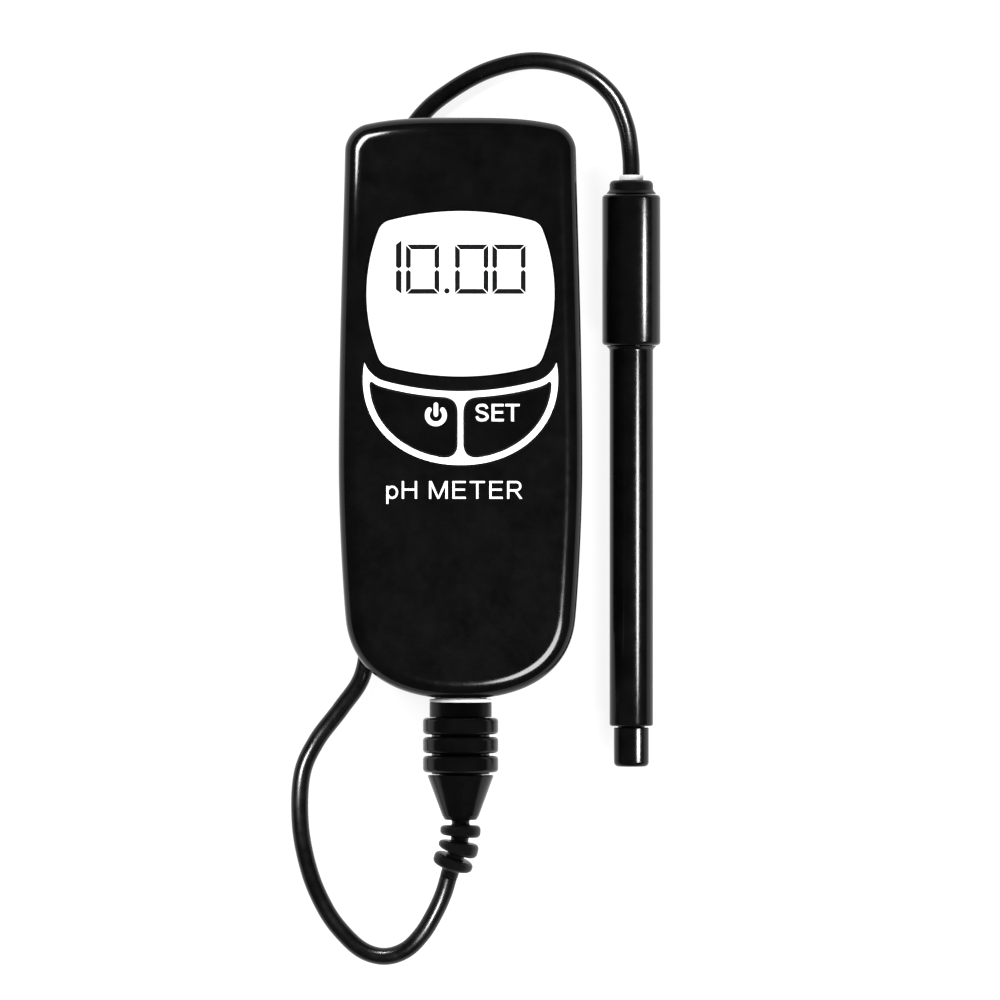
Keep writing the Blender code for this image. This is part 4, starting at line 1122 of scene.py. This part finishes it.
lettered("set_mark", "set_key", (3.95, -3.45, 4.6, 0.74, 0.64),
         (("S", 3.5, 0.78), ("E", 3.2, 0.45), ("T", 3.75, 0.0)),
         KEY_TOP, key_pieces["set_button"])
lettered("title_mark", "meter", (-19.6, -23.9, 4.65, 0.56, 0.5),
         (("p", 3.1, 1.0), ("H", 4.0, 3.2), ("M", 4.9, 1.3), ("E", 3.5, 1.05),
          ("T", 4.0, 1.2), ("E", 3.5, 1.2), ("R", 4.0, 0.0)), CASE_TOP)

# ---- display ----
# Painted glow: the display ground, the window's mask and the LCD glass below give off light of their
# own, which whitens them and hides the shade under the window's rim.
lcd_pale = painted_glow_ground("lcd_pale", (0.88, 0.885, 0.875))
lcd_ink = printed("lcd_ink", (0.003, 0.003, 0.004), 0.2)
WINDOW_UNDER = CASE_TOP - WINDOW_THICK
WINDOW_SECTION = (  # growth of the outline, height
    (-0.1, WINDOW_UNDER), (0.0, WINDOW_UNDER + 0.1), (0.0, CASE_TOP - 0.2),
    (-0.06, CASE_TOP - 0.06), (-0.2, CASE_TOP),
)
window = loft("window_skin", [level(offset(window_outline(), grow), z) for grow, z in WINDOW_SECTION])
window_clear = clear("window_clear", 0.06)
finish_piece(window, "meter", window_clear, ["lcd_window"], angle=EDGE_ANGLE)

# The printed mask glows with the same painted light as the display.
MASK_SECTION = ((-0.15, -0.03), (-0.15, -0.1), (-3.4, -0.1), (-3.4, -0.03))
mask = loft("window_mask", [level(window_outline(grow), WINDOW_UNDER + z) for grow, z in MASK_SECTION],
            closed=True)
finish_piece(mask, "meter", lcd_pale, angle=EDGE_ANGLE)
wear(lcd_pale, "lcd_glass")

DIGIT_TOP = 43.35
DIGIT_BOTTOM = 30.3
DIGIT_WIDTH = 8.85
STROKE = 1.3
SLIT = 0.13
INK_THICK = 0.02
ZEROS_LEFT = (-14.45, -1.46, 8.4)
ONE_RIGHT = -15.6
ONE_WIDTH = 1.5
ONE_RISE = 1.15  # the 1 stands a little taller than the zeros
ONE_SLANT = 1.2
DOT_CENTRE = (-3.6, DIGIT_BOTTOM + 0.78)
DOT_RADIUS = 0.74


def segment(bm, points, z):
    """A closed prism of ink, INK_THICK deep below z."""
    upper = [bm.verts.new((x * MM, y * MM, z * MM)) for x, y in points]
    lower = [bm.verts.new((x * MM, y * MM, (z - INK_THICK) * MM)) for x, y in points]
    bm.faces.new(upper)
    bm.faces.new(lower[::-1])
    for i in range(len(points)):
        bm.faces.new((upper[i - 1], lower[i - 1], lower[i], upper[i]))


def draw_zero(bm, x0, z):
    """The six lit segments of a 0, mitred at the corners and pointed in the middle."""
    x1 = x0 + DIGIT_WIDTH
    y0, y1 = DIGIT_BOTTOM, DIGIT_TOP
    mid = (y0 + y1) / 2.0
    s, g = STROKE, SLIT
    tip = 1.6 * g
    for y, d in ((y1, 1.0), (y0, -1.0)):
        inside = y - d * s
        segment(bm, [(x0 + tip, y), (x1 - tip, y), (x1 - s - g, inside), (x0 + s + g, inside)], z)
    for x, d in ((x0, 1.0), (x1, -1.0)):
        for y, e in ((y1, 1.0), (y0, -1.0)):
            segment(bm, [(x, y - e * tip), (x + d * s, y - e * (s + g)),
                         (x + d * s, mid + e * (g + s * 0.42)), (x + d * s / 2.0, mid + e * g),
                         (x, mid + e * (g + s * 0.42))], z)


def draw_one(bm, x1, z):
    """The two lit bars of a 1, slanted at their outer ends."""
    y0, y1 = DIGIT_BOTTOM - 0.05, DIGIT_TOP + ONE_RISE
    mid = (DIGIT_BOTTOM + DIGIT_TOP) / 2.0
    x0 = x1 - ONE_WIDTH
    half = (x0 + x1) / 2.0
    above, below = mid + SLIT, mid - SLIT
    point = 0.55
    segment(bm, [(x0, y1 - ONE_SLANT), (x1, y1), (x1, above + point), (half, above),
                 (x0, above + point)], z)
    segment(bm, [(x0, y0 + ONE_SLANT), (x0, below - point), (half, below), (x1, below - point),
                 (x1, y0)], z)


bm = bmesh.new()
ink_z = LCD_TOP + 0.03
for left in ZEROS_LEFT:
    draw_zero(bm, left, ink_z)
draw_one(bm, ONE_RIGHT, ink_z)
segment(bm, [(DOT_CENTRE[0] + DOT_RADIUS * c, DOT_CENTRE[1] + DOT_RADIUS * s) for c, s in circle(40)],
        ink_z)
bmesh.ops.recalc_face_normals(bm, faces=bm.faces)
bmesh.ops.triangulate(bm, faces=bm.faces)
digits = put("digits", bpy.data.meshes.new("digits_flat"))
bm.to_mesh(digits.data)
bm.free()
finish_piece(digits, "meter", lcd_ink)


# ---- electrode ----
def underside_cutter():
    """Everything under the surface the electrode lies on."""
    return block("cut", PROBE_AXIS[0] - 12.0, PROBE_AXIS[0] + 12.0, -100.0, 64.0, -8.0, 0.0)


gland = turned("gland_skin", [
    (1.4, 60.8, 0.1), (SHAFT_RADIUS, 60.8, 1.3), (SHAFT_RADIUS, 58.2, 0.9), (6.7, 57.25, 0.1),
    (4.2, 57.25, 0.0), (4.2, 50.0, 0.0), (1.4, 50.0, 0.0)], PROBE_AXIS)
carve(gland, underside_cutter())
finish_piece(gland, "electrode", relief_rubber, ["probe_gland"], angle=50.0)
collar = turned("cord_collar", [(2.32, 60.82, 0.0), (3.2, 60.82, 0.2), (3.2, 62.25, 0.4),
                                (2.32, 62.25, 0.0)], PROBE_AXIS, 64)
finish_piece(collar, "electrode", pale_rubber, angle=60.0)

handle = turned("handle_skin", [
    (4.5, 57.0, 0.0), (HANDLE_RADIUS, 57.0, 1.0), (HANDLE_RADIUS, 16.9, 1.0), (5.3, 16.9, 0.1),
    (5.3, 30.6, 0.0), (4.5, 30.6, 0.0)], PROBE_AXIS)
carve(handle, underside_cutter())
finish_piece(handle, "electrode", grip_black, ["probe_handle"], angle=50.0)

shaft = turned("shaft_skin", [
    (4.2, 30.3, 0.0), (5.0, 30.3, 0.2), (5.0, 16.9, 0.0), (6.7, 16.75, 0.05),
    (SHAFT_RADIUS, 15.8, 0.9), (SHAFT_RADIUS, -84.4, 0.6), (3.6, -84.4, 0.1), (3.6, -87.0, 0.15),
    (3.0, -87.0, 0.1), (3.0, -81.0, 0.0), (4.2, -81.0, 0.0)], PROBE_AXIS)
carve(shaft, underside_cutter())
finish_piece(shaft, "electrode", shaft_black, ["probe_shaft"], angle=50.0)

cap = turned("cap_skin", [
    (0.0, -93.6, 0.0), (2.6, -93.6, 0.3), (3.2, -93.0, 0.2), (3.2, -88.0, 0.0), (3.9, -87.6, 0.0),
    (3.9, -84.8, 0.1), (CAP_RADIUS, -84.8, 0.3), (CAP_RADIUS, -95.2, 1.2), (0.0, -95.2, 0.0)],
    PROBE_AXIS, 96, closed=False)
finish_piece(cap, "protective_cap", grip_black, ["protective_cap"], angle=50.0)

# ---- plain nodes that stay ----
wear(seal_rubber, "case_gasket", "lcd_connector")
wear(steel, "case_screw", "board_screw", "socket_nut", "reference_wire", "amplifier_shield", "contact_")
wear(dark_metal, "plug_shell")
wear(case_black, "battery_door")
wear(banded_cell("cell_wrap", -18.0, True), "battery_cell_1", "battery_cell_3")
wear(banded_cell("cell_wrap_turned", -45.4, False), "battery_cell_2")
wear(speckled_board("board_green"), "main_board")
wear(moulded("chip_black", (0.03, 0.03, 0.032), 0.5),
     "microcontroller", "power_switch", "set_switch", "plug_insert")
wear(white_plastic, "lcd_frame", "socket_insert")
wear(gold, "socket_contact", "plug_pin", "temperature_sensor")
wear(cord_rubber, "sensor_lead")
wear(clear("electrode_glass", 0.2, (0.85, 0.92, 0.94)), "glass_electrode")
wear(printed("ceramic_white", (0.85, 0.84, 0.8), 0.7), "junction_ring")

# ---- floor, light ----
FLOOR_HALF = 3.0  # metres
FLOOR_DROP = 0.05  # the gap under the object
floor = put("floor", bpy.data.meshes.new("floor"))
floor.data.from_pydata([(x * FLOOR_HALF, y * FLOOR_HALF, 0.0)
                        for x, y in ((-1, -1), (1, -1), (1, 1), (-1, 1))], [], [(0, 1, 2, 3)])
floor.location.z = -FLOOR_DROP * MM
coat_with(floor, paper("floor_pale", 0.9))


def softbox(name, target, direction, distance, size, power):
    """An oval area light that shines at a point (millimetres) from a direction."""
    data = bpy.data.lights.new(name, 'AREA')
    data.shape = 'ELLIPSE'
    data.size, data.size_y = size
    data.energy = power
    lamp = put(name, data)
    away = Vector(direction).normalized()
    across = Vector((-away.y, away.x, 0.0)).normalized()
    lamp.matrix_world = (Matrix.Translation(Vector(target) * MM + away * distance)
                         @ Matrix((across, away.cross(across), away)).transposed().to_4x4())
    return lamp


# The studio lamps. Most of their light is diffuse only, so that glossy faces mirror a gentle sheen.
SHEEN = 0.12
LAMP_DISTANCE = 1.2  # metres
LAMP_SIZE = (0.9, 0.4)
for name, direction, power in (("upper_left", (-1.0, 1.0, 1.45), 27.0),
                               ("lower_right", (0.95, -1.0, 1.4), 24.0)):
    place = ((0.0, 0.0, 0.0), direction, LAMP_DISTANCE, LAMP_SIZE)
    lamp = softbox(name, *place, (1.0 - SHEEN) * power)
    lamp.visible_glossy = False
    softbox(name + "_sheen", *place, SHEEN * power)
# Lamps for single highlights: piece lit, spot on it, direction and distance of the lamp (metres),
# its size, watts.
HIGHLIGHTS = (
    ("upper_corner", front, (-28.0, 73.0, 29.0), (-30.0, 25.0, 56.0), 0.068, (0.088, 0.034), 0.53),
    ("lower_corner", front, (20.0, -60.0, 25.0), (1.0, -1.0, 2.7), 1.2, (0.8, 0.6), 51.0),
    ("handle", handle, (48.9, 38.0, 12.8), (1.0, 0.0, 0.74), 0.1, (0.036, 0.02), 0.24),
    ("shaft", shaft, (47.1, -29.5, 11.4), (1.0, 0.0, 1.51), 0.1, (0.1, 0.022), 0.42),
    ("tip", cap, (47.3, -90.0, 10.1), (1.0, 0.0, 0.9), 0.06, (0.013, 0.024), 0.1),
    ("cord_left", cord_piece, (-40.4, -95.5, 4.5), (-0.4, 0.1, 1.0), 0.04, (0.014, 0.014), 0.085),
    ("cord_low", cord_piece, (-18.6, -145.8, 8.3), (0.02, -0.2, 1.0), 0.04, (0.011, 0.014), 0.075),
    ("cord_high", cord_piece, (37.7, 86.3, 4.8), (0.4, 0.4, 1.0), 0.04, (0.016, 0.014), 0.11),
)
for name, piece, spot, towards, distance, size, power in HIGHLIGHTS:
    lamp = softbox(name, spot, towards, distance, size, power)
    lamp.visible_camera = False
    lamp.visible_diffuse = False
    receivers = bpy.data.collections.new(name + "_receiver")
    receivers.objects.link(piece)
    lamp.light_linking.receiver_collection = receivers

world = bpy.data.worlds.new("studio")
world.use_nodes = True
background = world.node_tree.nodes["Background"]
background.inputs["Color"].default_value = (0.96, 0.98, 1.0, 1.0)
background.inputs["Strength"].default_value = 0.05
bpy.context.scene.world = world
bpy.context.scene.view_settings.view_transform = 'Standard'
